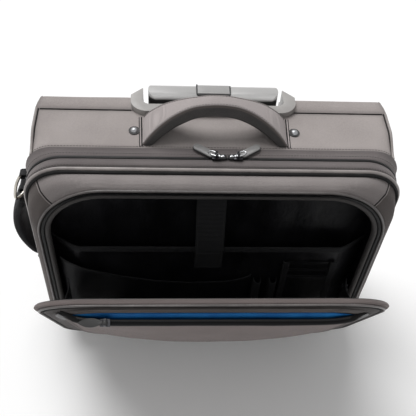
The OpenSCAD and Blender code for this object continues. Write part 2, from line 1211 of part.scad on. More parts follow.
// Stations of the bulging pocket, drawn in by a margin: its seam, its belly, its mouth and its crown
module pocket_space(m) {
  seam = panel_out + 1.6 - (m > 0 ? 0.2 : 0);
  hull() {
    flap_station(seam, flap_hw - 32 - m, flap_hinge_z + 62 + m, mouth_z - m, 40 - m, 56 - m);
    flap_station(26 - m, flap_hw - 68 - m, flap_hinge_z + 88 + m, mouth_z - 20 - m, 50 - m, 50 - m);
    flap_station(26 - m, flap_hw - 42 - m, mouth_z - 48 + m, mouth_z - m, 20 - m, 20 - m);
    flap_station(pocket_bulge - 0.4 - m, flap_hw - 115 - m, flap_hinge_z + 112 + m, mouth_z - 56 - m, 45 - m, 45 - m);
  }
}

module pocket_panel() {
  color("#7d7875")
    flap_pose()
      difference() {
        pocket_space(0);
        pocket_space(3);
        flap_layer(panel_out, tape_in)
          translate([-150, mouth_z - 10])
            square([300, 20]);
      }
}

module pocket_zip_tape() {
  color("#141415")
    flap_pose()
      flap_layer(tape_in, tape_in + 4.2)
        translate([-152, mouth_z + 0.3])
          square([304, 1.2]);
}

// Turns the pocket's slider onto its mouth
module at_mouth() {
  flap_pose()
    translate([pocket_slider_x, flap_hinge_y - 24, mouth_z + 1.9])
      children();
}

module pocket_slider() {
  color("#1b1b1c")
    at_mouth()
      slider();
}

module pocket_pull() {
  color("#8a8786")
    at_mouth()
      pull(0, pull_droop);
}

// Folding fabric sides between the opening and the flap
module side_gussets() {
  s = 130;
  near = flap_hinge_y - 2.5;
  far = [flap_hinge_y - s * sin(flap_open) + 1.6, flap_hinge_z + s * cos(flap_open)];
  color("#1f1f20")
    for (m = [0, 1])
      mirror([m, 0, 0])
        along(182, 183.4)
          polygon([[near, 62], [near, 165], far]);
}

// Moves the case so that its footprint's box is centred on the origin
module place() {
  translate([shift_x, shift_y, 0])
    children();
}

place() top_panel();
place() back_panel();
place() left_side_panel();
place() right_side_panel();
place() bottom_panel();
place() rear_zip_band();
place() side_piping();
place() carry_handle();
place() handle_anchor_plate();
place() handle_rivets();
place() rivet_washers();
place() trolley_bezel();
place() trolley_cover();
place() tube_foot();
place() outer_tubes();
place() trolley_screws();
place() left_wheel_housing();
place() right_wheel_housing();
place() wheel_axles();
place() front_feet();
place() ring_tabs();
place() side_rings();
place() side_handle();
place() mid_tubes();
place() mid_collars();
place() inner_tubes();
place() grip_lower();
place() grip_upper();
place() grip_button();
place() lock_rods();
place() left_tyre();
place() left_hub();
place() right_tyre();
place() right_hub();
place() left_slider();
place() left_pull();
place() right_slider();
place() right_pull();
place() front_zip_band();
place() rim_piping();
place() front_gusset();
place() opening_zip_tape();
place() divider_panel();
place() laptop_sleeve();
place() organizer_pocket();
place() pen_loops();
place() card_pockets();
place() laptop_strap();
place() flap_slider();
place() flap_pull();
place() flap_zip_tape();
place() flap_gusset();
place() flap_panel();
place() flap_piping();
place() pocket_lining();
place() pocket_panel();
place() pocket_zip_tape();
place() pocket_slider();
place() pocket_pull();
place() side_gussets();
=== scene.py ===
"""Looks of the rolling business case: fabric, linings, trim and hardware dressed round its frame."""

import math

import bmesh
import bpy
import numpy as np
from mathutils import Matrix, Vector, noise


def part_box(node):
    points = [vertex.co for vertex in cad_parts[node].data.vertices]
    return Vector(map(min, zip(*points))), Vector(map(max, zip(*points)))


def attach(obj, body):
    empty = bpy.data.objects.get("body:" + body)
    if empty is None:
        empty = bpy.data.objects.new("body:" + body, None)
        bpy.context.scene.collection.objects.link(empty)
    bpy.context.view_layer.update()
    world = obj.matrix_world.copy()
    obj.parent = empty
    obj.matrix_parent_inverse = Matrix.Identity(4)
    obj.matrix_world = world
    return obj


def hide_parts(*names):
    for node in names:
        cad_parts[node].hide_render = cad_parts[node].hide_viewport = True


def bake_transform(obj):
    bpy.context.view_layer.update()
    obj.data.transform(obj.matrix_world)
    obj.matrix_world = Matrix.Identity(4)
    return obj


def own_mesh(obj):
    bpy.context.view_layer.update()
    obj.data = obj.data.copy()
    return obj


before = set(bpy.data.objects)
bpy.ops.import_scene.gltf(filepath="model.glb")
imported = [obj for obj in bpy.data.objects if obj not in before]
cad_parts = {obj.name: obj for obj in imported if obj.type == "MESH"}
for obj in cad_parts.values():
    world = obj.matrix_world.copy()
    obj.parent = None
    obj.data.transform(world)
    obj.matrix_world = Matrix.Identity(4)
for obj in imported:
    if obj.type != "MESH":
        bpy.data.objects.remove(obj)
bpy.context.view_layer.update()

# Sizes in millimetres about the middle of the front rim, heights from the floor
MM = 0.001
RIM_HW = 220.0
RIM_R = 48.0
BASE_Z = 20.0
TOP_Z = 345.0
BODY_HW = 215.5
CASE_D = 120.0
BACK_R = 3.0
BACK_LIFT = 2.0
BACK_LIFT_RUN = 10.0
WALL = 4.0
SEAM_Y = 98.0
PIPE_X = 213.3
CORNER_IN = 5.0
SHOULDER_R = 33.0
SHOULDER_END = 68.0
SHOULDER_RUN = 36.0
BAND_Y = 32.0
HINGE_BAND_Z = 60.0
PIPING_R = 2.6
PIPING_IN = 0.6
HOUSING = (158.0, 74.0, 68.0)
NOTCH_HW = 91.0
NOTCH_Z = 313.7
FLAP_OPEN = math.radians(24)
FLAP_HINGE_Y = -26.0
FLAP_HINGE_Z = 40.0
FLAP_HW = 195.0
FLAP_LOW = 42.0
FLAP_TOP = 335.0
FLAP_R = 60.0
FLAP_FOOT_R = 70.0
FLAP_FACE = 14.0
FLAP_LEAN = 5.0
FLAP_TILT = 4.5
FLAP_ZIP_IN = 7.8
MOUTH_Z = 318.0
SLEEVE_Z = 214.0
SLEEVE_LOW = 40.0
STITCH_PITCH, STITCH = 3.4, (2.3, 0.6, 0.3)
FINE_PITCH, FINE_STITCH = 3.0, (2.0, 0.5, 0.3)
TEETH_PITCH, TEETH_STEP, TEETH_TAPER = 2.2, 1.1, 0.8
PUFF_FRAMES, PUFF_PRESSURE = 20, 4.0
SHARP_ANGLE, BEVEL_ANGLE = math.radians(48), math.radians(35)
WELD = 2e-6

rim_low, rim_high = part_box("rim_piping")
RIM_MIDDLE = (rim_low + rim_high) / 2
SHIFT = np.array([RIM_MIDDLE.x / MM, RIM_MIDDLE.y / MM, 0.0])


class Shade:
    """A shader socket: sums on it add Math nodes, and node() adds any other node beside it."""

    def __init__(self, tree, socket=None):
        self.tree = tree
        self.socket = socket

    def node(self, kind, settings=None, inputs=None, out=0):
        made = self.tree.nodes.new(kind)
        for key, value in (settings or {}).items():
            setattr(made, key, value)
        for key, value in (inputs or {}).items():
            if isinstance(value, Shade):
                self.tree.links.new(value.socket, made.inputs[key])
            else:
                made.inputs[key].default_value = value
        if out == "all":
            return [Shade(self.tree, socket) for socket in made.outputs]
        return Shade(self.tree, made.outputs[out])

    def math(self, operation, a, b=0.0):
        return self.node("ShaderNodeMath", {"operation": operation}, {0: a, 1: b})

    def __add__(self, other):
        return self.math("ADD", self, other)

    __radd__ = __add__

    def __mul__(self, other):
        return self.math("MULTIPLY", self, other)

    __rmul__ = __mul__

    def __sub__(self, other):
        return self.math("SUBTRACT", self, other)

    def __rsub__(self, other):
        return self.math("SUBTRACT", other, self)

    def vector(self, operation, **inputs):
        return self.node("ShaderNodeVectorMath", {"operation": operation}, {0: self, **inputs})

    def parts(self):
        return self.node("ShaderNodeSeparateXYZ", None, {0: self}, "all")

    def ranged(self, low, high, to_low=0.0, to_high=1.0):
        limits = {"Value": self, "From Min": low, "From Max": high, "To Min": to_low, "To Max": to_high}
        return self.node("ShaderNodeMapRange", {"clamp": True}, limits)

    def mixed(self, first, second):
        """Colour between two others, by this socket's value"""
        return self.node("ShaderNodeMix", {"data_type": "RGBA"}, {0: self, 6: first, 7: second}, 2)

    def place(self):
        return self.node("ShaderNodeTexCoord", out="Object")

    def facing(self):
        return self.node("ShaderNodeTexCoord", out="Normal")

    def speckle(self, scale, detail, rough=0.6, stretch=None):
        where = self.place()
        if stretch:
            where = where.node("ShaderNodeVectorMath", {"operation": "MULTIPLY"}, {0: where, 1: stretch})
        settings = {"Vector": where, "Scale": scale, "Detail": detail, "Roughness": rough}
        return self.node("ShaderNodeTexNoise", None, settings, 0)

    def seam(self):
        # nearness to a sewn border, where the cloth is darkened by grime and painted shade
        return self.node("ShaderNodeAttribute", {"attribute_name": "seam"}, out="Fac")

    def weave(self, pitch):
        """Plain weave of crossing threads on any face, from -1 to 1"""
        turns = self.place().vector("SCALE", Scale=2 * math.pi / pitch)
        sx, sy, sz = turns.vector("SINE").parts()
        nx, ny, nz = self.facing().vector("ABSOLUTE").parts()
        return nx * sy * sz + ny * sx * sz + nz * sx * sy

    def ribs(self, pitch, along):
        """Ribs across a direction, from -1 to 1"""
        x, y, z = self.place().parts()
        return self.math("SINE", (x * along[0] + y * along[1] + z * along[2]) * (2 * math.pi / pitch))

    def bump(self, depth):
        return self.node("ShaderNodeBump", None, {"Strength": 1.0, "Distance": depth * MM, "Height": self})

    def backdrop(self):
        """1 for rays that show the background: straight, mirrored or through glass"""
        rays = self.node("ShaderNodeLightPath", out="all")
        return self.math("MAXIMUM", rays[0], self.math("MAXIMUM", rays[3], rays[6]))


def srgb(red, green, blue):
    """Colour as it looks on a screen, 0 to 255, turned into light"""
    shares = (red / 255, green / 255, blue / 255)
    return tuple(c / 12.92 if c <= 0.04045 else ((c + 0.055) / 1.055) ** 2.4 for c in shares) + (1.0,)


def finish(name, paint, fixed=None):
    """Material whose varying sockets come from paint and whose even ones are set on the shader"""
    material = bpy.data.materials.new(name)
    material.use_nodes = True
    tree = material.node_tree
    shader = tree.nodes["Principled BSDF"]
    for socket, value in paint(Shade(tree)).items():
        tree.links.new(value.socket, shader.inputs[socket])
    for socket, value in (fixed or {}).items():
        shader.inputs[socket].default_value = value
    return material


def woven(name, dark, light, pitch=1.2, rough=0.82, depth=0.22, fixed=None):
    """Heathered cloth: crossing threads, flecks, faint clouds, and darkening along its seams that is partly grime and
    partly painted shade
    """
    def paint(start):
        threads = start.weave(pitch * MM)
        fleck = start.speckle(760, 3.0, 0.75)
        cloud = start.speckle(15, 2.0)
        tone = fleck.ranged(0.25, 0.75) * 0.6 + cloud.ranged(0.3, 0.7) * 0.3 + threads * 0.1
        colour = tone.ranged(0.05, 0.95).mixed(dark, light)
        # seam darkening: partly grime, partly painted shade in the sewn creases
        grime_and_shade = tuple(0.55 * c for c in dark[:3]) + (1.0,)
        return {"Base Color": (start.seam() * 0.6).mixed(colour, grime_and_shade),
                "Roughness": fleck.ranged(0.2, 0.8, rough - 0.08, rough + 0.08),
                "Normal": (threads * 0.7 + fleck * 1.2).bump(depth)}
    return finish(name, paint, fixed)


def vinyl(name, dark, light, rough, fixed=None):
    """Coated trim with a fine pebble grain, polished where it rubs"""
    def paint(start):
        grain = start.node("ShaderNodeTexVoronoi", {"feature": "F1"}, {"Vector": start.place(), "Scale": 850.0})
        rub = start.speckle(38, 3.0)
        colour = rub.ranged(0.3, 0.7).mixed(dark, light)
        return {"Base Color": colour,
                "Roughness": rub.ranged(0.3, 0.7, rough + 0.08, rough - 0.07),
                "Normal": grain.bump(0.12)}
    return finish(name, paint, fixed)


def satin(name, dark, light, rough, fixed):
    """Smooth lining with fine twill ribs and soft creases"""
    def paint(start):
        twill = start.ribs(0.9 * MM, (1.0, 0.9, 1.1))
        crease = start.speckle(34, 3.0, 0.55, (1.0, 1.0, 0.5))
        colour = (crease.ranged(0.35, 0.7) * 0.8 + twill * 0.1 + 0.1).mixed(dark, light)
        return {"Base Color": colour,
                "Roughness": crease.ranged(0.3, 0.7, rough - 0.06, rough + 0.1),
                "Normal": (crease * 6.0 + twill * 0.15).bump(0.35)}
    return finish(name, paint, fixed)


def webbing(name, dark, light, along, fixed):
    """Ribbed strap with a coarse weave"""
    def paint(start):
        rib = start.ribs(1.9 * MM, along)
        threads = start.weave(1.5 * MM)
        fuzz = start.speckle(500, 2.0)
        colour = (rib * 0.25 + threads * 0.2 + fuzz * 0.8).ranged(0.0, 1.0).mixed(dark, light)
        return {"Base Color": colour,
                "Roughness": fuzz.ranged(0.3, 0.7, 0.62, 0.82),
                "Normal": (rib * 0.6 + threads * 0.7).bump(0.3)}
    return finish(name, paint, fixed)


def moulded(name, dark, light, rough, grain=0.06):
    """Moulded plastic with a fine spark texture, faint flow marks and scuffs"""
    def paint(start):
        spark = start.speckle(1500, 2.0, 0.7)
        flow = start.speckle(22, 3.0)
        scuff = start.speckle(90, 4.0, 0.7, (1.0, 3.0, 1.0)).ranged(0.62, 0.72)
        colour = (flow.ranged(0.3, 0.7) * 0.8 + scuff * 0.2).mixed(dark, light)
        return {"Base Color": colour,
                "Roughness": scuff * 0.12 + spark.ranged(0.3, 0.7, rough - 0.04, rough + 0.06),
                "Normal": spark.bump(grain)}
    return finish(name, paint)


def grip_shade_and_highlight(name, under, middle, top):
    """Grip plastic with painted shade along its foot, a painted highlight streak above it, then greyer over the top"""
    def paint(start):
        spark = start.speckle(1500, 2.0, 0.7)
        # noise that makes the edges of the painted bands uneven
        band_wobble = start.speckle(60, 3.0, 0.6, (0.3, 1.0, 1.0))
        height = start.place().parts()[2] + (band_wobble - 0.5) * 0.0015
        # painted shade below, then the painted highlight streak, then the top's grey
        lower = height.ranged(0.3515, 0.3542).mixed(under, middle)
        upper = height.ranged(0.3562, 0.3588).mixed(lower, top)
        return {"Base Color": upper,
                "Roughness": spark.ranged(0.3, 0.7, 0.28, 0.38),
                "Normal": spark.bump(0.05)}
    return finish(name, paint)


def metal(name, dark, light, rough, stretch):
    """Bare or plated metal with fine brush marks"""
    def paint(start):
        brush = start.speckle(420, 3.0, 0.7, stretch)
        smear = start.speckle(30, 2.0)
        colour = (brush * 0.5 + smear * 0.5).ranged(0.3, 0.7).mixed(dark, light)
        return {"Base Color": colour,
                "Roughness": (brush * 0.6 + smear * 0.4).ranged(0.3, 0.7, rough - 0.05, rough + 0.08),
                "Normal": brush.bump(0.02)}
    return finish(name, paint, {"Metallic": 1.0})


def rubber(name, dark, light):
    """Tyre rubber with dust in its pores"""
    def paint(start):
        pores = start.speckle(900, 3.0, 0.7)
        dust = start.speckle(45, 4.0, 0.7)
        return {"Base Color": dust.ranged(0.45, 0.75).mixed(dark, light),
                "Roughness": pores.ranged(0.3, 0.7, 0.7, 0.9),
                "Normal": pores.bump(0.15)}
    return finish(name, paint)


def coil(name, dark, light):
    """Nylon zip teeth with light worn tips"""
    def paint(start):
        worn = start.speckle(260, 3.0)
        return {"Base Color": worn.ranged(0.4, 0.75).mixed(dark, light),
                "Roughness": worn.ranged(0.3, 0.7, 0.3, 0.45),
                "Normal": worn.bump(0.05)}
    return finish(name, paint)


SOFT_SHEEN = {"Sheen Weight": 0.12, "Sheen Roughness": 0.5, "Specular IOR Level": 0.25}
LOW_GLOSS = {"Specular IOR Level": 0.22}
grey_cloth = woven("grey_cloth", srgb(155, 147, 145), srgb(191, 183, 180), fixed=SOFT_SHEEN)
# the case's grey cloth darkened as painted shade, for the open flap that faces down and away from the light
flap_shade_cloth = woven("flap_shade_cloth", srgb(106, 97, 95), srgb(134, 123, 121), fixed=SOFT_SHEEN)
# the case's grey cloth darkened as painted shade for the sloping gusset; also used for the handle's seam bindings
gusset_shade_grey = woven("gusset_shade_grey", srgb(138, 131, 130), srgb(171, 164, 162), fixed=SOFT_SHEEN)
# grey cloth darkened further as painted shade for faces turned from the light
side_shade_grey = woven("side_shade_grey", srgb(86, 79, 77), srgb(114, 106, 103), fixed=SOFT_SHEEN)
hem_grey = woven("hem_grey", srgb(60, 55, 54), srgb(84, 78, 76), fixed=SOFT_SHEEN)
band_cloth = woven("band_cloth", srgb(100, 94, 94), srgb(137, 130, 129), fixed=SOFT_SHEEN)
handle_cloth = woven("handle_cloth", srgb(164, 156, 155), srgb(197, 188, 187), 1.0, fixed=SOFT_SHEEN)
# the handle's cloth darkened as painted shade for its lower front
edge_shade_cloth = woven("edge_shade_cloth", srgb(60, 58, 58), srgb(94, 91, 90), 1.0, fixed=SOFT_SHEEN)
edge_vinyl = vinyl("edge_vinyl", srgb(22, 22, 23), srgb(40, 39, 39), 0.42)
# near-black for lines of painted shade in grooves, seams and slits
seam_shade_black = vinyl("seam_shade_black", srgb(8, 8, 9), srgb(18, 17, 17), 0.7, LOW_GLOSS)
welt_vinyl = vinyl("welt_vinyl", srgb(70, 66, 65), srgb(98, 93, 92), 0.36)
piping_vinyl = vinyl("piping_vinyl", srgb(128, 122, 120), srgb(158, 151, 148), 0.34)
black_satin = satin("black_satin", srgb(17, 17, 19), srgb(36, 36, 39), 0.34, LOW_GLOSS)
black_web_up = webbing("black_web_up", srgb(22, 22, 23), srgb(54, 54, 56), (0, 0, 1), LOW_GLOSS)
black_web_across = webbing("black_web_across", srgb(22, 22, 23), srgb(54, 54, 56), (1, 0, 0), LOW_GLOSS)
blue_satin = satin("blue_satin", srgb(8, 80, 144), srgb(24, 114, 180), 0.5, LOW_GLOSS)
tape_cloth = woven("tape_cloth", srgb(20, 20, 21), srgb(40, 39, 40), 0.9, 0.7, 0.15, LOW_GLOSS)
black_tape = woven("black_tape", srgb(8, 8, 9), srgb(20, 20, 21), 0.9, 0.75, 0.15, LOW_GLOSS)
grey_tape = woven("grey_tape", srgb(66, 64, 63), srgb(102, 98, 97), 0.9, 0.6, 0.15, LOW_GLOSS)
black_teeth = coil("black_teeth", srgb(10, 10, 11), srgb(44, 44, 46))
dark_thread = woven("dark_thread", srgb(34, 32, 32), srgb(62, 58, 57), 0.5)
black_thread = woven("black_thread", srgb(14, 14, 15), srgb(52, 52, 54), 0.5)
# grip plastic with painted shade at its foot and a painted highlight streak
grip_painted_light = grip_shade_and_highlight("grip_painted_light", srgb(26, 26, 27), srgb(252, 251, 250), srgb(176, 175, 174))
bezel_plastic = moulded("bezel_plastic", srgb(150, 147, 145), srgb(178, 175, 172), 0.36)
button_plastic = moulded("button_plastic", srgb(150, 149, 148), srgb(172, 171, 170), 0.34)
black_plastic = moulded("black_plastic", srgb(18, 18, 19), srgb(34, 34, 35), 0.48, 0.1)
cover_plastic = moulded("cover_plastic", srgb(44, 43, 43), srgb(62, 60, 60), 0.52, 0.14)
hub_plastic = moulded("hub_plastic", srgb(92, 93, 95), srgb(116, 117, 119), 0.4)
tube_metal = metal("tube_metal", srgb(176, 179, 183), srgb(214, 216, 219), 0.3, (1.0, 1.0, 0.02))
bright_metal = metal("bright_metal", srgb(186, 188, 190), srgb(226, 227, 229), 0.14, (1.0, 1.0, 1.0))
axle_steel = metal("axle_steel", srgb(140, 142, 145), srgb(182, 184, 187), 0.32, (0.05, 1.0, 1.0))
ring_metal = metal("ring_metal", srgb(150, 146, 138), srgb(206, 201, 191), 0.2, (1.0, 1.0, 1.0))
rivet_metal = metal("rivet_metal", srgb(120, 121, 123), srgb(168, 169, 171), 0.3, (1.0, 1.0, 1.0))
slider_metal = metal("slider_metal", srgb(40, 40, 42), srgb(82, 82, 85), 0.3, (1.0, 1.0, 1.0))
pull_vinyl = vinyl("pull_vinyl", srgb(112, 111, 111), srgb(152, 151, 150), 0.34)
tyre_rubber = rubber("tyre_rubber", srgb(24, 24, 25), srgb(58, 57, 56))


class Cloth:
    """Grid of points in millimetres, open or closed round its columns"""

    def __init__(self, points, closed=False):
        self.points = np.array(points, float)
        self.closed = closed

    def normals(self):
        if self.closed:
            around = np.roll(self.points, -1, axis=1) - np.roll(self.points, 1, axis=1)
        else:
            around = np.gradient(self.points, axis=1)
        out = np.cross(around, np.gradient(self.points, axis=0))
        return out / np.maximum(np.linalg.norm(out, axis=2, keepdims=True), 1e-9)

    def run(self, axis):
        """Distance of each point from the nearer border along an axis"""
        step = np.linalg.norm(np.diff(self.points, axis=axis), axis=2)
        start = np.zeros_like(np.take(step, [0], axis=axis))
        gone = np.cumsum(np.concatenate([start, step], axis=axis), axis=axis)
        return np.minimum(gone, np.take(gone, [-1], axis=axis) - gone)

    def edge(self, reach):
        """1 on a sewn border, falling to 0 past the reach"""
        near = self.run(0)
        if not self.closed:
            near = np.minimum(near, self.run(1))
        return np.exp(-((near / reach) ** 2))

    def moved(self, amount):
        """Same cloth pushed out along its normals"""
        return Cloth(self.points + self.normals() * np.asarray(amount)[..., None], self.closed)

    def rippled(self, size, seed, amount):
        """Same cloth with soft ripples"""
        return self.moved(ripple(self.points, size, seed) * amount)

    def sewn(self, depth, reach, crease, size, seed):
        """Pulled in along its borders, with puckers there and soft creases elsewhere"""
        near = self.edge(reach)
        pucker = ripple(self.points, 7.0, seed + 3.0)
        soft = ripple(self.points, size, seed)
        return self.moved(near * (pucker * 0.35 - 1.0) * depth + (1 - near) * soft * crease)

    def line(self, share):
        """Points and normals along the cloth at a share of its rows"""
        place = share * (len(self.points) - 1)
        low = min(int(place), len(self.points) - 2)
        part = place - low
        normals = self.normals()
        out = normals[low] * (1 - part) + normals[low + 1] * part
        return self.points[low] * (1 - part) + self.points[low + 1] * part, out


def ripple(points, size, seed):
    """Smooth noise over points, from -1 to 1"""
    flat = np.asarray(points).reshape(-1, 3) / size + seed
    return np.array([noise.noise(Vector(p)) for p in flat]).reshape(np.shape(points)[:-1])


def smooth(share):
    """Share from 0 to 1 with soft ends"""
    return share ** 2 * (3 - 2 * share)


def squared(value, power):
    """Sine or cosine drawn out towards 1, as round a squarish oval"""
    return math.copysign(abs(value) ** power, value)


def full_turn(count):
    """Angles once round"""
    return np.linspace(0, 2 * math.pi, count, endpoint=False)


def grid(rows, columns, around=False, ended=True):
    """Faces between the points of a grid, which may close around its columns or, if it isn't ended, its rows"""
    return [(r * columns + c, r * columns + (c + 1) % columns,
             (r + 1) % rows * columns + (c + 1) % columns, (r + 1) % rows * columns + c)
            for r in range(rows - 1 if ended else rows) for c in range(columns if around else columns - 1)]


def line(start, end, count):
    """Points from start towards end, without the end"""
    share = np.linspace(0, 1, count, endpoint=False)[:, None]
    return np.array(start, float) * (1 - share) + np.array(end, float) * share


def arc(centre, radius, start, end, count):
    """Points round a centre between two angles in degrees, without the end"""
    angle = np.radians(np.linspace(start, end, count, endpoint=False))
    return np.stack([centre[0] + radius * np.cos(angle), centre[1] + radius * np.sin(angle)], 1)


def rim(hw, z0, z1, rt, rb=None, low=None):
    """Outline (x, z) up the left side, over the top and down the right: closed, or open above a height"""
    rb = rt if rb is None else rb
    turn = 270.0 if low is None else 180 + math.degrees(math.asin(min(1, max(0, (z0 + rb - low) / rb))))
    foot = 16 if low is None else 5
    start = z0 + rb if low is None else max(low, z0 + rb)
    half = [arc((rb - hw, z0 + rb), rb, turn, 180, foot),
            line((-hw, start), (-hw, z1 - rt), 34),
            arc((rt - hw, z1 - rt), rt, 180, 90, 18),
            line((rt - hw, z1), (0, z1), 24)]
    left = np.concatenate(half)
    right = left[::-1] * [-1, 1]
    over = np.concatenate([left, [[0, z1]], right])
    if low is not None:
        return over
    under = line((hw - rb, z0), (rb - hw, z0), 40)[1:]
    return np.concatenate([over, under])


def ring(outline, y):
    """Outline stood up at a depth"""
    return np.stack([outline[:, 0], np.full(len(outline), float(y)), outline[:, 1]], 1)


def half_width(z, hw, z0, z1, rt, rb):
    """Half width of a rounded outline at a height"""
    if z > z1 - rt:
        return hw - rt + math.sqrt(max(0.0, rt ** 2 - (z - z1 + rt) ** 2))
    if z < z0 + rb:
        return hw - rb + math.sqrt(max(0.0, rb ** 2 - (z0 + rb - z) ** 2))
    return hw


def panel(hw, z0, z1, rt, rb, y, columns, rows):
    """Upright panel with rounded corners, facing the front"""
    turn = np.radians(np.linspace(0, 90, 10))
    heights = np.concatenate([z0 + rb * (1 - np.cos(turn)), np.linspace(z0 + rb, z1 - rt, rows)[1:-1],
                              z1 - rt * (1 - np.sin(turn))])
    share = np.linspace(-1, 1, columns)
    return Cloth([[(u * half_width(z, hw, z0, z1, rt, rb), y, z) for u in share] for z in heights])


class Piece:
    """Points and faces gathered, in millimetres about the rim, into one named object"""

    def __init__(self, name, *finishes):
        self.name = name
        self.finishes = finishes
        self.points = []
        self.faces = []
        self.tints = []
        self.seams = []

    def add(self, points, faces, tint=0, seams=None):
        first = len(self.points)
        self.points += [tuple(p) for p in points]
        self.faces += [tuple(first + i for i in f) for f in faces]
        self.tints += [tint] * len(faces)
        self.seams += [0.0] * len(points) if seams is None else list(seams)

    def shell(self, cloth, thick, tint=0, lining=1, keep=None, tints=None):
        """Cloth with a thickness, its inside in the lining's finish"""
        rows, columns = cloth.points.shape[:2]
        count = rows * columns
        inner = cloth.points - cloth.normals() * thick
        outer = cloth.points.reshape(-1, 3)
        quads, colours = [], []
        for quad in grid(rows, columns, cloth.closed):
            if keep is None or keep(outer[list(quad)].mean(0)):
                quads.append(quad)
                colours.append(tints(*divmod(quad[0], columns)) if tints else tint)
        inside = [tuple(i + count for i in reversed(q)) for q in quads]
        edges = {edge: None for q in quads for edge in zip(q, q[1:] + q[:1])}
        rims = [(b, a, a + count, b + count) for a, b in edges if (b, a) not in edges]
        points = np.concatenate([outer, inner.reshape(-1, 3)])
        # nearness to the sewn border, darkened by the cloth finishes as grime and painted shade
        seams = np.tile(cloth.edge(4.0).ravel(), 2)
        first = len(self.tints)
        self.add(points, quads + inside + rims, lining, seams)
        self.tints[first:first + len(quads)] = colours
        self.tints[first + 2 * len(quads):] = [tint] * len(rims)

    def loft(self, cloth, tints=None):
        """Closed body skinned round a run of sections, flat at both ends"""
        rows, count = cloth.points.shape[:2]
        quads = grid(rows, count, True)
        ends = [tuple(range(count)), tuple(range((rows - 1) * count, rows * count))]
        first = len(self.tints)
        self.add(cloth.points.reshape(-1, 3), quads + ends)
        if tints:
            self.tints[first:] = [tints(i % count) for i in range(len(quads))] + [1, 1]

    def tube(self, path, radius, up, closed=False, tint=0, sides=12):
        """Round bar swept along a path"""
        path = np.asarray(path, float)
        ahead = np.roll(path, -1, 0) - np.roll(path, 1, 0) if closed else np.gradient(path, axis=0)
        ahead /= np.linalg.norm(ahead, axis=1, keepdims=True)
        side = np.cross(ahead, np.asarray(up, float))
        side /= np.linalg.norm(side, axis=1, keepdims=True)
        over = np.cross(side, ahead)
        turn = full_turn(sides)[None, :, None]
        rings = path[:, None] + radius * (side[:, None] * np.cos(turn) + over[:, None] * np.sin(turn))
        count = len(path)
        faces = grid(count, sides, True, not closed)
        if not closed:
            faces += [tuple(range(sides)), tuple(range((count - 1) * sides, count * sides))]
        self.add(rings.reshape(-1, 3), faces, tint)

    def beads(self, path, normals, pitch, size, tint, taper=0.6, closed=False, start=0.0):
        """Row of small tapered blocks along a path: stitches or teeth of (length, width, height)"""
        path = np.asarray(path, float)
        normals = np.broadcast_to(np.asarray(normals, float), path.shape)
        if closed:
            path = np.concatenate([path, path[:1]])
            normals = np.concatenate([normals, normals[:1]])
        gone = np.concatenate([[0], np.cumsum(np.linalg.norm(np.diff(path, axis=0), axis=1))])
        length, width, height = size
        for at in np.arange(start + pitch / 2, gone[-1], pitch):
            where = [np.interp(at, gone, path[:, i]) for i in range(3)]
            ahead = np.array([np.interp(at + 0.5, gone, path[:, i]) for i in range(3)]) - where
            if np.linalg.norm(ahead) < 1e-6:
                continue
            ahead /= np.linalg.norm(ahead)
            up = np.array([np.interp(at, gone, normals[:, i]) for i in range(3)])
            up /= np.linalg.norm(up)
            side = np.cross(ahead, up)
            block = [where + ahead * a * length / 2 * k + side * b * width / 2 * k + up * h
                     for k, h in ((1.0, -0.2), (taper, height))
                     for a, b in ((-1, -1), (1, -1), (1, 1), (-1, 1))]
            self.add(block, [(3, 2, 1, 0), (4, 5, 6, 7), (0, 1, 5, 4), (1, 2, 6, 5), (2, 3, 7, 6), (3, 0, 4, 7)],
                     tint)

    def make(self, body, slot, *nodes, tilt=0.0):
        """The object, riding on its body or, when given two, left unattached where it stands, and standing for its
        nodes
        """
        points = np.array(self.points)
        if body == "flap":
            points = opened(points, tilt)
        mesh = bpy.data.meshes.new(self.name)
        mesh.from_pydata(((points + SHIFT) * MM).tolist(), [], self.faces)
        for material in self.finishes:
            mesh.materials.append(material)
        mesh.polygons.foreach_set("material_index", self.tints)
        # seam darkness, partly grime and partly painted shade, read by the cloth finishes
        seam = mesh.attributes.new("seam", "FLOAT", "POINT")
        seam.data.foreach_set("value", np.array(self.seams, np.float32))
        bm = bmesh.new()
        bm.from_mesh(mesh)
        bmesh.ops.remove_doubles(bm, verts=bm.verts, dist=WELD)
        bmesh.ops.recalc_face_normals(bm, faces=bm.faces)
        bm.to_mesh(mesh)
        bm.free()
        mesh.shade_smooth()
        mesh.set_sharp_from_angle(angle=SHARP_ANGLE)
        piece = bpy.data.objects.new(self.name, mesh)
        bpy.context.scene.collection.objects.link(piece)
        if isinstance(body, tuple):
            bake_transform(piece)
        else:
            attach(piece, body)
        if nodes:
            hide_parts(*nodes)
        return piece


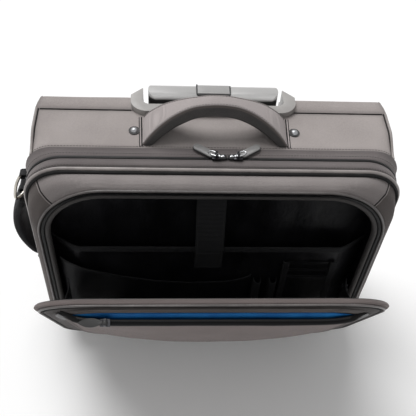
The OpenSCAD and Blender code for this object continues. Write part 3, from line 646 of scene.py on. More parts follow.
def puff(cloth, held, most):
    """Cloth swollen by simulated pressure, its held points fixed and no point moved more than a few millimetres"""
    rows, columns = cloth.points.shape[:2]
    start = cloth.points.reshape(-1, 3)
    mesh = bpy.data.meshes.new("draft")
    mesh.from_pydata((start * MM).tolist(), [], grid(rows, columns, cloth.closed))
    draft = bpy.data.objects.new("draft", mesh)
    scene = bpy.context.scene
    scene.collection.objects.link(draft)
    draft.vertex_groups.new(name="held").add([int(i) for i in np.flatnonzero(held)], 1.0, "REPLACE")
    swell = draft.modifiers.new("swell", "CLOTH")
    swell.settings.quality = 5
    swell.settings.mass = 0.15
    swell.settings.bending_stiffness = 1.0
    swell.settings.vertex_group_mass = "held"
    swell.settings.use_pressure = True
    swell.settings.uniform_pressure_force = PUFF_PRESSURE
    swell.settings.effector_weights.gravity = 0.0
    swell.collision_settings.use_collision = False
    swell.point_cache.frame_start, swell.point_cache.frame_end = 1, PUFF_FRAMES
    for moment in range(1, PUFF_FRAMES + 1):
        scene.frame_set(moment)
    swollen = draft.evaluated_get(bpy.context.evaluated_depsgraph_get()).data
    ends = np.empty(len(start) * 3)
    swollen.vertices.foreach_get("co", ends)
    move = ends.reshape(-1, 3) / MM - start
    far = np.linalg.norm(move, axis=1, keepdims=True)
    move *= most * np.tanh(far / most) / np.maximum(far, 1e-9)
    bpy.data.objects.remove(draft)
    bpy.data.meshes.remove(mesh)
    scene.frame_set(1)
    return Cloth((start + move).reshape(rows, columns, 3), cloth.closed)


def opened(points, tilt):
    """Points of the shut flap turned open about its hinge line, hanging to the left, its right end tilted up"""
    y = points[:, 1] - FLAP_HINGE_Y
    z = points[:, 2] - FLAP_HINGE_Z
    c, s = math.cos(FLAP_OPEN), math.sin(FLAP_OPEN)
    share = z / (FLAP_TOP - FLAP_HINGE_Z)
    z = z + tilt * points[:, 0] / FLAP_HW * share * np.clip(share, 0, 1)
    x = points[:, 0] - FLAP_LEAN * share
    return np.stack([x, FLAP_HINGE_Y + y * c - z * s, FLAP_HINGE_Z + y * s + z * c], 1)


# Main compartment

def corner_in(y):
    """How far the side panels draw in towards the back edge"""
    return CORNER_IN * np.clip((y - SEAM_Y - 2) / (CASE_D - SEAM_Y - 2), 0, 1)


def shoulder(x, y):
    """How far the top's side edges droop towards the rounded rear band"""
    over = np.clip(abs(x) - RIM_HW + SHOULDER_R, 0, 0.97 * SHOULDER_R)
    near = np.clip((SHOULDER_END - y) / SHOULDER_RUN, 0, 1)
    return (SHOULDER_R - np.sqrt(SHOULDER_R ** 2 - over ** 2)) * smooth(near)


def back_lift(y):
    """How far the top rises behind its seam"""
    return BACK_LIFT * np.clip((y - SEAM_Y) / BACK_LIFT_RUN, 0, 1)


def top_cover():
    """Top panel between the rear zip band and the back seam"""
    edge, flat = PIPE_X - 1.2, 182
    across = np.concatenate([np.linspace(-edge, -flat, 16), np.linspace(-flat, flat, 64)[1:-1],
                             np.linspace(flat, edge, 16)])
    deep = np.linspace(BAND_Y + 0.2, SEAM_Y - 0.3, 24)
    cloth = Cloth([[(x, y, TOP_Z - shoulder(x, y)) for x in across] for y in deep]).sewn(0.9, 3.2, 0.3, 34, 1)
    piece = Piece("top_cover", grey_cloth, black_satin, dark_thread)
    piece.shell(cloth, WALL)
    piece.beads(*cloth.line(0.055), 3.6, (2.4, 0.7, 0.3), 2)
    return piece.make("case", "grey_fabric", "top_panel")


def back_profile():
    """Side view (y, z) from the top seam over the raised back edge to the foot"""
    high = TOP_Z + BACK_LIFT
    over = line((SEAM_Y, TOP_Z), (CASE_D - BACK_R, TOP_Z), 10)
    over[:, 1] += back_lift(over[:, 0])
    bend = arc((CASE_D - BACK_R, high - BACK_R), BACK_R, 90, 0, 8)
    upper = line((CASE_D, high - BACK_R), (CASE_D, NOTCH_Z), 5)
    middle = line((CASE_D, NOTCH_Z), (CASE_D, HOUSING[2]), 34)
    lower = line((CASE_D, HOUSING[2]), (CASE_D, BASE_Z), 7)
    return np.concatenate([over, bend, upper, middle, lower, [[CASE_D, BASE_Z]]])


def back_cover():
    """Back panel from the top seam down, cut out round the handle well and the wheels"""
    hw, edge = HOUSING[0], BODY_HW - 0.4
    across = np.concatenate([np.linspace(-edge, -hw, 12), np.linspace(-hw, -NOTCH_HW, 13)[1:],
                             np.linspace(-NOTCH_HW, NOTCH_HW, 30)[1:], np.linspace(NOTCH_HW, hw, 13)[1:],
                             np.linspace(hw, edge, 12)[1:]])
    drawn = np.sign(across) * np.clip((abs(across) - hw) / (edge - hw), 0, 1)
    rows = [[(x - d * corner_in(y), y, z) for x, d in zip(across, drawn)] for y, z in back_profile()]
    cloth = Cloth(rows).sewn(0.6, 2.6, 0.4, 48, 2)

    def keep(p):
        well = abs(p[0]) < NOTCH_HW and p[2] > NOTCH_Z
        wheel = abs(p[0]) > hw and p[2] < HOUSING[2]
        return not (well or wheel)

    piece = Piece("back_cover", grey_cloth, black_satin, seam_shade_black)
    piece.shell(cloth, WALL, keep=keep)
    # black tubes along the top seam as painted shade in it
    for s in (-1, 1):
        piece.tube(line((s * 100, SEAM_Y - 0.2, TOP_Z - 0.4), (s * PIPE_X, SEAM_Y - 0.2, TOP_Z - 0.4), 30), 0.8,
                   (0, 0, 1), tint=2, sides=8)
    return piece.make("case", "grey_fabric", "back_panel")


def side_cover(name, side, node):
    """Side panel rolled over the top edge, with a soft crown, cut out for the wheel"""
    piece = Piece(name, grey_cloth, black_satin)
    r = BODY_HW - PIPE_X - 0.3
    turn = np.radians(np.linspace(0, 90, 6))[1:]
    top = [(BODY_HW, z) for z in np.linspace(HOUSING[2], TOP_Z - r, 36)]
    top += [(BODY_HW - r + r * math.cos(a), TOP_Z - r + r * math.sin(a)) for a in turn]
    foot = [(BODY_HW, z) for z in np.linspace(BASE_Z, HOUSING[2], 8)]
    for profile, end in ((foot, HOUSING[1]), (top, CASE_D - 0.8)):
        share = np.linspace(0, 1, 30)[::1 if side > 0 else -1]
        start = BAND_Y + 0.4
        deep = [start + u * (end - start) for u in share]
        rows = []
        for x, z in profile:
            high = np.clip((z - TOP_Z + 70) / 70, 0, 1)
            rows.append([(side * (x - corner_in(y)), y, z + high * (back_lift(y) - shoulder(PIPE_X, y)))
                         for y in deep])
        cloth = Cloth(rows)
        crown = np.clip(cloth.run(1) / 40, 0, 1) * np.clip((TOP_Z - 8 - cloth.points[..., 2]) / 60, 0, 1)
        piece.shell(cloth.moved(crown).sewn(0.5, 2.6, 0.4, 44, 5 + side), WALL - 1)
    return piece.make("case", "grey_fabric", node)


def rear_band():
    """Band behind the main zip, folded into a ridge where it meets the top panel"""
    fold = ((17.6, -0.5), (18.6, 0.2), (21.5, 0.7), (25.5, 0.4), (28.6, 1.0), (30.4, 1.9), (31.8, 1.5), (32.4, 0.2))
    front, deep = 17.6, 14.8
    rows = []
    for y, g in fold:
        turn = RIM_R - (RIM_R - SHOULDER_R) * (y - front) / deep
        rows.append(ring(rim(RIM_HW + g, BASE_Z - g, TOP_Z + g, turn + g, RIM_R + g), y))
    cloth = Cloth(rows, True)
    piece = Piece("rear_band", band_cloth, black_satin, dark_thread)
    piece.shell(cloth.rippled(22, 7, 0.25), WALL - 0.6)
    piece.beads(*cloth.line(0.36), STITCH_PITCH, STITCH, 2, closed=True)
    corner_turn = np.radians(np.linspace(25, 90, 14))
    reach = [min((BODY_HW - RIM_HW + RIM_R) / max(math.cos(a), 1e-6), RIM_R / math.sin(a)) for a in corner_turn]
    for sx in (-1, 1):
        patch = [[(sx * (RIM_HW - RIM_R + q * math.cos(a)), 31.2, BASE_Z + RIM_R - q * math.sin(a))
                  for q, a in zip([(RIM_R - 1) * (1 - share) + r * share for r in reach], corner_turn)]
                 for share in np.linspace(0, 1, 5)]
        piece.shell(Cloth(patch if sx > 0 else [row[::-1] for row in patch]), 1.6)
    foot_rows = []
    for y in (3.6, 6.0, 11.0, front):
        low = rim(RIM_HW, BASE_Z, TOP_Z, RIM_R)
        right = low[:, 0] > 0
        under = np.concatenate([low[right & (low[:, 1] < HINGE_BAND_Z)], low[~right & (low[:, 1] < HINGE_BAND_Z)]])
        order = np.argsort(np.arctan2(under[:, 0], 200 - under[:, 1]))[::-1]
        foot_rows.append(ring(under[order], y))
    piece.shell(Cloth(foot_rows), WALL - 0.6)
    return piece.make("case", "band_fabric", "rear_zip_band")


def side_trim():
    """Piping along the top edges and down the back corners, with a black line beside it as painted shade in its seam"""
    piece = Piece("side_trim", piping_vinyl, seam_shade_black)
    front = line((BAND_Y + 1, TOP_Z), (SEAM_Y - 2, TOP_Z), 22)
    over = line((SEAM_Y - 2, TOP_Z), (CASE_D - 3, TOP_Z), 12)
    down = line((CASE_D - 1.2, TOP_Z - 9), (CASE_D - 1.2, HOUSING[2] + 1), 40)
    path = np.concatenate([front, over, down])
    turn = smooth(np.clip((path[:, 0] - SEAM_Y + 2) / 9, 0, 1))
    drop = np.where(path[:, 1] > TOP_Z - 1, shoulder(PIPE_X, path[:, 0]) + 4.5 * turn, 0)
    for s in (-1, 1):
        for lift, radius, aside, tint in ((0.3, 1.7, 0.0, 0), (-0.1, 0.8, -2.1, 1)):
            x = s * (PIPE_X + aside + 1.5 * turn - corner_in(path[:, 0]))
            z = path[:, 1] - drop + lift * (1 - turn)
            piece.tube(np.column_stack([x, path[:, 0], z]), radius, (1, 0, 0), tint=tint)
    return piece.make("case", "piping", "side_piping")


HANDLE_HALF, HANDLE_RISE, HANDLE_IN_HALF, HANDLE_IN_RISE, HANDLE_Y = 86.0, 51.0, 72.0, 29.5, 61.5
HANDLE_FOOT_HW, HANDLE_MID_HW = 25.0, 10.5


def arch_point(half, rise, share):
    """Point (x, height) on an arch standing on its chord"""
    radius = (half ** 2 + rise ** 2) / (2 * rise)
    angle = share * math.asin(half / radius)
    return np.array([radius * math.sin(angle), rise - radius + radius * math.cos(angle)])


def handle_section(share, count):
    """Closed cross-section of the carry handle, squarer towards its flat feet"""
    outer = arch_point(HANDLE_HALF, HANDLE_RISE, share)
    inner = arch_point(HANDLE_IN_HALF, HANDLE_IN_RISE, share)
    middle, rise = (outer + inner) / 2, (outer - inner) / 2
    flare = np.clip((abs(outer[0]) - 26) / 58, 0, 1)
    hw = HANDLE_MID_HW + (HANDLE_FOOT_HW - HANDLE_MID_HW) * flare ** 1.3
    points = []
    for turn in full_turn(count):
        wide = hw * squared(math.cos(turn), 0.5 - 0.34 * flare)
        x, z = middle + rise * squared(math.sin(turn), 0.62)
        points.append((x, HANDLE_Y + wide, TOP_Z + 0.1 + z))
    return points


def carry_handle():
    """Padded arch: cloth over the top, a thin binding, a shaded edge and a black underside"""
    count, crowd = 40, 1.45
    # heights that part the top cloth, a band of painted shade, a deeper band of painted shade, and the black underside
    crest, side, edge = 0.8, 0.45, -0.5
    shares = np.sin(np.linspace(-1, 1, 61) * crowd) / math.sin(crowd)
    cloth = Cloth([handle_section(u, count) for u in shares], True)
    high = np.array([math.sin(2 * math.pi * (i + 0.5) / count) for i in range(count)])
    top = [i for i in range(count) if high[i] > crest]
    seams = (top[0], top[-1] + 1)
    held = np.zeros(cloth.points.shape[:2], bool)
    held[:3] = held[-3:] = True
    held[:, list(seams)] = True
    body = puff(cloth.moved(ripple(cloth.points, 16, 11) * 0.35 - 0.5), held, 1.6)
    piece = Piece("carry_handle_pad", handle_cloth, edge_vinyl, dark_thread, edge_shade_cloth, gusset_shade_grey, side_shade_grey)
    # top in the handle's cloth, upper front in the darker grey and lower front in the darker cloth, both painted shade
    piece.loft(body, lambda c: 0 if high[c] > crest else 5 if high[c] > side else 3 if high[c] > edge else 1)
    normals = body.normals()
    # bindings along the top seams in the gusset's grey, a copy of the grey cloth darkened as painted shade
    for c, inward in ((seams[0], 1), (seams[1], -1)):
        piece.tube(body.points[2:-2, c], 0.9, (0, 0, 1), tint=4, sides=8)
        piece.beads(body.points[2:-2, c + inward], normals[2:-2, c + inward], STITCH_PITCH, (2.3, 0.6, 0.35), 2)
    pad = piece.make("case", "light_fabric", "carry_handle")
    return pad


def handle_slits():
    """Bound slits that the handle's feet go into"""
    piece = Piece("handle_slits", seam_shade_black, handle_cloth)
    for s in (-1, 1):
        # black tubes either side of a cloth roll, as painted shade in the slit
        for aside, radius, tint in ((-0.3, 0.8, 0), (1.2, 0.9, 1), (2.4, 0.6, 0)):
            near = (s * (HANDLE_HALF - 0.6 + aside), HANDLE_Y - 25, TOP_Z + 0.1)
            far = (s * (HANDLE_HALF + 1.8 + aside), HANDLE_Y + 27, TOP_Z + 0.1)
            piece.tube(line(near, far, 14), radius, (0, 0, 1), tint=tint, sides=8)
    return piece.make("case", "black_plastic")


def zip_half(name, body, ys, teeth_y, shift):
    """One side of the main zip: a tape on the band and a row of teeth"""
    piece = Piece(name, tape_cloth, tape_cloth, black_teeth)
    low = HINGE_BAND_Z + 1
    rows = [ring(rim(RIM_HW + g, BASE_Z - g, TOP_Z + g, RIM_R + g, low=low), y) for y, g in ys]
    piece.shell(Cloth(rows), 0.5)
    path = ring(rim(RIM_HW + 0.7, BASE_Z - 0.7, TOP_Z + 0.7, RIM_R + 0.7, low=low), teeth_y)
    out = Cloth([path + (0, -1, 0), path, path + (0, 1, 0)]).normals()[1]
    piece.beads(path, out, TEETH_PITCH, (1.3, 1.4, 0.8), 2, TEETH_TAPER, start=shift)
    return piece.make(body, "zip_tape")


# Front section

def front_band():
    """Band between the rim's piping and the main zip"""
    fold = ((2.7, -0.8), (3.8, 0.1), (6.5, 0.9), (10.0, 1.0), (13.5, 0.7), (15.8, 0.2), (16.5, -0.5))
    rows = [ring(rim(RIM_HW + g, BASE_Z - g, TOP_Z + g, RIM_R + g, low=HINGE_BAND_Z), y) for y, g in fold]
    cloth = Cloth(rows)
    piece = Piece("front_band", band_cloth, black_satin, dark_thread)
    piece.shell(cloth.rippled(20, 9, 0.2), WALL - 0.6)
    piece.beads(*cloth.line(0.24), STITCH_PITCH, STITCH, 2)
    return piece.make("front_section", "band_fabric", "front_zip_band")


def rim_trim():
    """Piping round the front rim, with black tubes either side as painted shade in its groove"""
    piece = Piece("rim_trim", piping_vinyl, seam_shade_black)
    for y, m, radius, tint in ((0.0, PIPING_IN, PIPING_R - 0.2, 0), (-3.6, 2.4, 1.9, 1), (2.9, 0.7, 1.0, 1)):
        path = ring(rim(RIM_HW - m, BASE_Z + m, TOP_Z - m, RIM_R - m), y)
        piece.tube(path, radius, (0, 1, 0), True, sides=14, tint=tint)
    return piece.make("front_section", "piping", "rim_piping")


def spread(outline, marks, counts):
    """Outline (x, z) cut at its points nearest to the marks, each stretch with an even count of points"""
    ring_points = np.concatenate([outline, outline[:1]])
    fine = np.concatenate([line(a, b, 12) for a, b in zip(ring_points[:-1], ring_points[1:])])
    cuts = [0] + [int(np.argmin(np.hypot(*(fine - m).T))) for m in marks] + [len(fine)]
    fine = np.concatenate([fine, fine[:1]])
    made = []
    for a, b, count in zip(cuts[:-1], cuts[1:], counts):
        stretch = fine[a:b + 1]
        gone = np.concatenate([[0], np.cumsum(np.hypot(*np.diff(stretch, axis=0).T))])
        at = np.linspace(0, gone[-1], count, endpoint=False)
        made.append(np.stack([np.interp(at, gone, stretch[:, 0]), np.interp(at, gone, stretch[:, 1])], 1))
    return np.concatenate(made)


GUSSET = ((-23.6, 209.0, 34.0, 336.5, 84.0, 58.0), (-16.0, 215.0, 27.0, 340.5, 64.0, 52.0),
          (-2.8, 216.6, 23.4, 341.6, 44.6, 44.6))
GUSSET_FRONT, GUSSET_DEEP = -23.6, 20.8
MITRES = (((-204, 331), (-187.4, 312.7)), ((200.6, 330), (183.2, 311)))
GUSSET_COLUMNS = (70, 90, 150)


def gusset_cloth():
    """Sloping cloth from the flap's opening back to the rim, its columns meeting the mitre seams"""
    depth = [s[0] for s in GUSSET]
    rows = []
    for y in (GUSSET_FRONT, -22.6, -20.6, -18.2, -15.5, -12.0, -8.5, -5.2, -2.8):
        hw, z0, z1, rt, rb = (np.interp(y, depth, [s[i] for s in GUSSET]) for i in range(1, 6))
        share = (y - GUSSET_FRONT) / GUSSET_DEEP
        swell = 1.4 * math.sin(math.pi * share)
        marks = [np.array(front) * (1 - share) + np.array(back) * share for back, front in MITRES]
        outline = rim(hw + swell, z0 - swell, z1 + swell, rt + swell, rb + swell)
        rows.append(ring(spread(outline, marks, GUSSET_COLUMNS), y))
    return Cloth(rows, True).sewn(0.7, 2.6, 0.35, 26, 13)


def front_gusset():
    """Gusset with its mitre seams at the upper corners, darker down its sides and darkening towards them, both painted
    shade
    """
    cloth = gusset_cloth()
    piece = Piece("front_gusset_cover", gusset_shade_grey, black_satin, dark_thread, seam_shade_black, side_shade_grey)
    left, right = GUSSET_COLUMNS[0], GUSSET_COLUMNS[0] + GUSSET_COLUMNS[1]
    # columns beyond the mitre seams, down the sides, in the darker grey as painted shade
    piece.shell(cloth, 2.8, tints=lambda r, c: 0 if left <= c < right else 4)
    across = np.array(piece.points)[:, 0]
    # painted shade deepening towards both ends, stronger on the right, added to the seam darkness
    corner_shade = np.where(across < 0, 0.55, 0.85) * np.clip((abs(across) - 90) / 130, 0, 1)
    piece.seams = list(np.maximum(piece.seams, corner_shade))
    normals = cloth.normals()
    for c, aside in ((left, -1), (right, 1)):
        path, out = cloth.points[:, c], normals[:, c]
        # black tube down each mitre seam as painted shade, with a ridge of gusset cloth beside it
        piece.tube(path - out * 0.3, 0.8, (0, 0, 1), tint=3, sides=8)
        piece.tube(cloth.points[:, c + aside] * 0.45 + path * 0.55 - out * 0.1, 0.7, (0, 0, 1), tint=0, sides=8)
    piece.beads(*cloth.line(0.93), STITCH_PITCH, STITCH, 2, closed=True)
    return piece.make("front_section", "grey_fabric", "front_gusset")


OPENING = (208.5, 36, 336, 83, 57)


def opening_zip():
    """Zip round the flap's opening: a welt beside the gusset, black teeth, then a rolled tape"""
    low = HINGE_BAND_Z + 1
    piece = Piece("opening_zip", grey_tape, black_satin, black_teeth, black_tape, welt_vinyl)

    def around(m, y):
        hw, z0, z1, rt, rb = OPENING
        return ring(rim(hw - m, z0 + m, z1 - m, rt - m, rb - m, low), y)

    piece.tube(around(1.4, -24.0), 1.7, (0, 1, 0), tint=4)
    piece.shell(Cloth([around(m, y) for m, y in ((2.6, -23.6), (4.6, -24.0), (8.6, -23.9))][::-1]), 0.6, 3)
    fold = ((8.4, -23.6), (8.9, -24.8), (10.0, -25.5), (11.6, -25.5), (13.0, -24.8), (14.2, -23.4), (14.6, -20.5))
    rolled = Cloth([around(m, y) for m, y in fold][::-1])
    piece.shell(rolled.rippled(18, 17, 0.15), 0.6)
    for m, shift in ((4.9, 0.0), (6.3, TEETH_STEP)):
        piece.beads(around(m, -24.2), (0, -1, 0), TEETH_PITCH, (1.3, 1.7, 0.9), 2, TEETH_TAPER, start=shift)
    return piece.make("front_section", "zip_tape", "opening_zip_tape")


def divider():
    """Lined panel at the back of the front section"""
    m = WALL + 1
    cloth = panel(RIM_HW - m, BASE_Z + m, TOP_Z - m, RIM_R - m, RIM_R - m, 12.6, 70, 44)
    soft = ripple(cloth.points * (1.0, 1.0, 0.45), 34, 21) - 0.2
    cloth = cloth.moved((1 - cloth.edge(12)) * np.clip(soft, -1, 1) * 1.5)
    piece = Piece("divider_lining", black_satin, black_satin)
    piece.shell(cloth, 2.6)
    return piece.make("front_section", "black_lining", "divider_panel")


def sleeve():
    """Padded sleeve: front drawn back at its sides, with a turned hem"""
    plan = np.concatenate([line((-203, 9.6), (-196, 5.2), 3), line((-196, 5.2), (-174, -8.6), 8),
                           line((-174, -8.6), (-166, -11.6), 4), line((-166, -11.6), (166, -11.6), 76),
                           line((166, -11.6), (174, -8.6), 4), line((174, -8.6), (196, 5.2), 8),
                           line((196, 5.2), (203, 9.6), 3), [[203, 9.6]]])
    heights = np.concatenate([np.linspace(SLEEVE_LOW, SLEEVE_Z - 9, 34), [SLEEVE_Z - 8]])
    cloth = Cloth([[(x, y, z) for x, y in plan] for z in heights])
    slack = ripple(cloth.points * (1.0, 1.0, 0.8), 30, 23) - 0.5
    drag = np.exp(-((cloth.points[..., 0] - 42) / 30) ** 2) * np.exp(-((cloth.points[..., 2] - 175) / 34) ** 2)
    lean = np.sin((cloth.points[..., 0] * 0.9 + cloth.points[..., 2] * 0.55) / 5.4)
    amount = (1 - cloth.edge(8)) * (np.clip(slack, -1, 0) * 1.6 + drag * (lean - 1.0) * 0.9)
    piece = Piece("sleeve_front", black_satin, black_satin, black_thread, black_web_across)
    piece.shell(cloth.moved(amount), 2.0)
    hem = Cloth([[(x, y + g, z) for x, y in plan] for z, g in
                 ((SLEEVE_Z - 9.0, -0.1), (SLEEVE_Z - 8.4, -0.9), (SLEEVE_Z - 4, -1.1), (SLEEVE_Z - 0.6, -0.7),
                  (SLEEVE_Z, 0.6), (SLEEVE_Z - 0.8, 1.8))])
    piece.shell(hem.rippled(40, 25, 0.2), 0.8, 3)
    for share in (0.2, 0.5):
        piece.beads(*hem.line(share), FINE_PITCH, FINE_STITCH, 2)
    return piece.make("front_section", "black_lining", "laptop_sleeve")


def organizer_pocket():
    """Slack pocket whose mouth sags from the left wall to the right end"""
    left, right, low = -191.0, 57.5, 54.5
    back, deep, ramp, plain = -13.0, 7.6, 26, 26
    across = np.linspace(left, right, 60)
    mouth = np.interp(across, (-192, -158, -120, -72, -24, 20, 58), (196, 179, 165, 153, 148, 151, 157))
    share = np.concatenate([np.linspace(0, 0.955, plain), [0.97, 0.985, 1.0]])
    rows = []
    for v in share:
        row = []
        for x, top in zip(across, mouth):
            end = min(x - left, right - x)
            out = deep * min(1.0, (max(end, 0.0) / ramp) ** 0.6)
            lip = 0.9 if v > 0.96 else 0.0
            row.append((x, back - out * (0.55 + 0.45 * v) - lip, low + v * (top - low)))
        rows.append(row)
    cloth = Cloth(rows)
    fold = ripple(cloth.points * (0.8, 1.0, 0.9), 26, 27)
    drawn = np.exp(-((cloth.points[..., 0] + 165) / 34) ** 2) * np.sin(
        (cloth.points[..., 0] * 0.8 - cloth.points[..., 2] * 0.7) / 6.5)
    rise = np.repeat(share[:, None], len(across), 1)
    cloth = cloth.moved((1 - cloth.edge(5)) * (np.clip(fold, -1, 0.2) * 0.9 + drawn * 0.8) * np.clip(1.2 - rise, 0, 1))
    piece = Piece("organizer_pocket_front", black_satin, black_satin, black_thread, black_web_across)
    piece.shell(cloth, 1.0, tints=lambda r, c: 3 if r >= plain - 1 else 0)
    piece.beads(*cloth.line(0.9), FINE_PITCH, FINE_STITCH, 2)
    return piece.make("front_section", "black_lining", "organizer_pocket")


def loops():
    """Two stitched tubes beside the pocket"""
    piece = Piece("loop_tubes", black_web_up, black_satin, black_thread)
    half, deep, foot, high = 5.4, 9.6, 62, 147
    for x in (61.0, 82.0):
        turn = np.linspace(math.pi, 0, 15)
        section = [(x + 5.5 + half * math.cos(a), -12.5 - deep * math.sin(a) ** 0.8) for a in turn]
        cloth = Cloth([[(a, b, z) for a, b in section] for z in np.linspace(foot, high, 18)])
        cloth = cloth.rippled(14, 31, 0.2)
        piece.shell(cloth, 0.9)
        piece.beads(*cloth.line(0.95), 2.6, (1.8, 0.5, 0.3), 2)
        seam = line((x - 1.2, -12.6, foot + 2), (x - 1.2, -12.6, high - 1), 20)
        piece.beads(seam, (0, -1, 0), FINE_PITCH, FINE_STITCH, 2)
    return piece.make("front_section", "black_webbing", "pen_loops")


def slip_pockets():
    """Three stepped slip pockets with bound edges"""
    piece = Piece("slip_pockets", black_satin, black_satin, black_thread, black_web_up)
    left, right, foot, highest, step = 101.5, 162.5, 56.5, 185.5, 14
    hem, bulge = 0.55, 0.35
    across = np.linspace(left, right, 24)
    belly = bulge * np.sin(math.pi * (across - left) / (right - left))
    for i in range(3):
        top = highest - step * i
        heights = np.concatenate([np.linspace(foot, top - 5, 12), [top - 4, top - 2, top - 0.6, top]])
        base = -12.9 - 1.2 * i
        rows = [[(x, base - (hem if z > top - 4.5 else 0.0) - b, z) for x, b in zip(across, belly)] for z in heights]
        cloth = Cloth(rows)
        piece.shell(cloth.rippled(18, 33 + i, 0.12), 0.7)
        piece.beads(cloth.points[-4] + (0, -0.2, 0), (0, -1, 0), 2.8, (1.9, 0.5, 0.25), 2)
    fold = ((-4.5, 2.6), (-4.2, 0.2), (0, -0.3), (4.2, 0.2), (4.5, 2.6))
    for x in (101.0, 163.5):
        binding = Cloth([[(x + dx, -15.9 + dy, z) for dx, dy in fold] for z in np.linspace(56, 187, 16)])
        piece.shell(binding, 0.8, 3)
        for dx in (-3, 3):
            piece.beads(line((x + dx, -16.1, 58), (x + dx, -16.1, 186), 20), (0, -1, 0), FINE_PITCH, FINE_STITCH, 2)
    return piece.make("front_section", "black_lining", "card_pockets")


def sleeve_strap():
    """Closing strap over the sleeve's mouth, with stitched borders and a boxed end"""
    knots = np.array([(-15.0, 173.0), (-15.1, 200.0), (-14.9, 214.0), (-13.4, 224.0), (-8.0, 243.0), (2.0, 280.0),
                      (7.6, 299.0), (9.2, 304.5)])
    reach = np.concatenate([[0], np.cumsum(np.hypot(*np.diff(knots, axis=0).T))])
    along = np.linspace(0, reach[-1], 46)
    profile = np.stack([np.interp(along, reach, knots[:, 0]), np.interp(along, reach, knots[:, 1])], 1)
    across = np.linspace(-20, 16, 15)
    cloth = Cloth([[(x, y, z) for x in across] for y, z in profile])
    cloth = cloth.rippled(30, 37, 0.35)
    piece = Piece("sleeve_strap_web", black_web_up, black_web_up, black_thread)
    piece.shell(cloth, 1.8)
    normals, stitch = cloth.normals(), (2.1, 0.6, 0.4)
    for c in (1, 13):
        piece.beads(cloth.points[1:-1, c], normals[1:-1, c], FINE_PITCH, stitch, 2)
    for r in (1, 11):
        piece.beads(cloth.points[r, 1:-1], normals[r, 1:-1], FINE_PITCH, stitch, 2)
    return piece.make("sleeve_strap", "black_webbing", "laptop_strap")


# Flap, drawn shut and turned open

def flap_section(share, grow):
    """Flap outline between its zip edge, share 0, and its outer face, share 1"""
    fall = share * abs(share)
    outline = rim(FLAP_HW - 30 * fall + grow, FLAP_LOW + 58 * fall - grow, FLAP_TOP + grow,
                  FLAP_R - 10 * share + grow, FLAP_FOOT_R - 10 * share + grow)
    return ring(outline, FLAP_HINGE_Y - 2.4 - (FLAP_FACE - 2.6) * share)


def flap_inset(margin):
    """Sizes of the flap's outline drawn in by a margin"""
    return FLAP_HW - margin, FLAP_LOW + margin, FLAP_TOP - margin, FLAP_R - margin, FLAP_FOOT_R - margin


def flap_zip():
    """Zip on the flap's inner edge: a flat tape with its teeth on the inside"""
    low = HINGE_BAND_Z + 1
    piece = Piece("flap_zip", grey_tape, tape_cloth, black_teeth)
    fold = ((1.4, 1.9), (2.2, 1.0), (3.4, 0.7), (6.2, 0.8), (FLAP_ZIP_IN, 1.4))
    rows = [ring(rim(*flap_inset(margin), low), FLAP_HINGE_Y - d) for margin, d in fold]
    piece.shell(Cloth(rows), 0.7)
    for r, shift in ((1, 0.0), (2, TEETH_STEP)):
        piece.beads(rows[r], (0, 1, 0), TEETH_PITCH, (1.3, 1.3, 0.6), 2, TEETH_TAPER, start=shift)
    return piece.make("flap", "zip_tape", "flap_zip_tape", tilt=FLAP_TILT)


def flap_edge():
    """Cloth wall round the flap: a soft band, a groove with a black tube of painted shade in it, a second band, a
    lining, and a hem along the hinge
    """
    # soft band in the flap's cloth, darkened as painted shade
    piece = Piece("flap_edge", flap_shade_cloth, black_satin, dark_thread, hem_grey, seam_shade_black)
    soft = ((0.5, -0.5), (0.44, 0.7), (0.3, 1.3), (0.15, 1.1), (0.02, 0.5), (-0.08, -0.2), (-0.13, -1.2))
    cloth = Cloth([flap_section(share, grow) for share, grow in soft], True)
    piece.shell(cloth.rippled(22, 41, 0.3), 1.4)
    piece.beads(*cloth.line(0.25), STITCH_PITCH, STITCH, 2, closed=True)
    dark = ((0.8, -0.4), (0.75, 0.3), (0.66, 0.4), (0.58, -0.2), (0.52, -0.8), (0.46, -2.2))
    second = Cloth([flap_section(share, grow) for share, grow in dark], True)
    piece.shell(second.rippled(22, 42, 0.2), 1.4, 3)
    lined = (1.0, 0.85, 0.7, 0.55, 0.4, 0.25, 0.1)
    piece.shell(Cloth([flap_section(share, -2.2) for share in lined], True), 0.6, 1)
    # black tube in the groove as painted shade
    piece.tube(flap_section(0.6, 0.2), 0.9, (0, 1, 0), True, tint=4, sides=8)
    turn = np.radians(np.linspace(-60, 240, 16))
    hem_hw, hem_r = 129, 1.9
    across = np.linspace(-hem_hw, hem_hw, 60)
    hem = [[(x, FLAP_HINGE_Y + hem_r * math.cos(a), FLAP_HINGE_Z + hem_r * math.sin(a)) for x in across] for a in turn]
    piece.shell(Cloth(hem), 0.6)
    web = [[(x, FLAP_HINGE_Y - 0.2 - d, FLAP_HINGE_Z + z) for x in across]
           for d, z in ((0.4, 0.6), (0.6, 3.0), (1.4, 5.0), (2.6, 5.4))]
    piece.shell(Cloth(web), 0.6)
    return piece.make("flap", "grey_fabric", "flap_gusset", tilt=FLAP_TILT)


def flap_cover():
    """Flap panel with a rolled hem, lined on its inner face"""
    # panel in the flap's cloth, darkened as painted shade
    piece = Piece("flap_cover", flap_shade_cloth, black_satin, hem_grey)
    cloth = panel(FLAP_HW - 31, FLAP_LOW + 59, FLAP_TOP - 1, FLAP_R - 11, FLAP_FOOT_R - 11,
                  FLAP_HINGE_Y - FLAP_FACE, 64, 36)
    piece.shell(cloth.sewn(0.4, 3.2, 0.2, 40, 43), 2.2)
    roll = ((1.06, -2.4), (1.1, -0.6), (1.06, 0.8), (0.96, 1.2), (0.86, 0.8), (0.8, -0.2))
    hem = Cloth([flap_section(share, grow) for share, grow in roll], True)
    piece.shell(hem.rippled(18, 44, 0.25), 0.8, 2)
    return piece.make("flap", "grey_fabric", "flap_panel", tilt=FLAP_TILT)


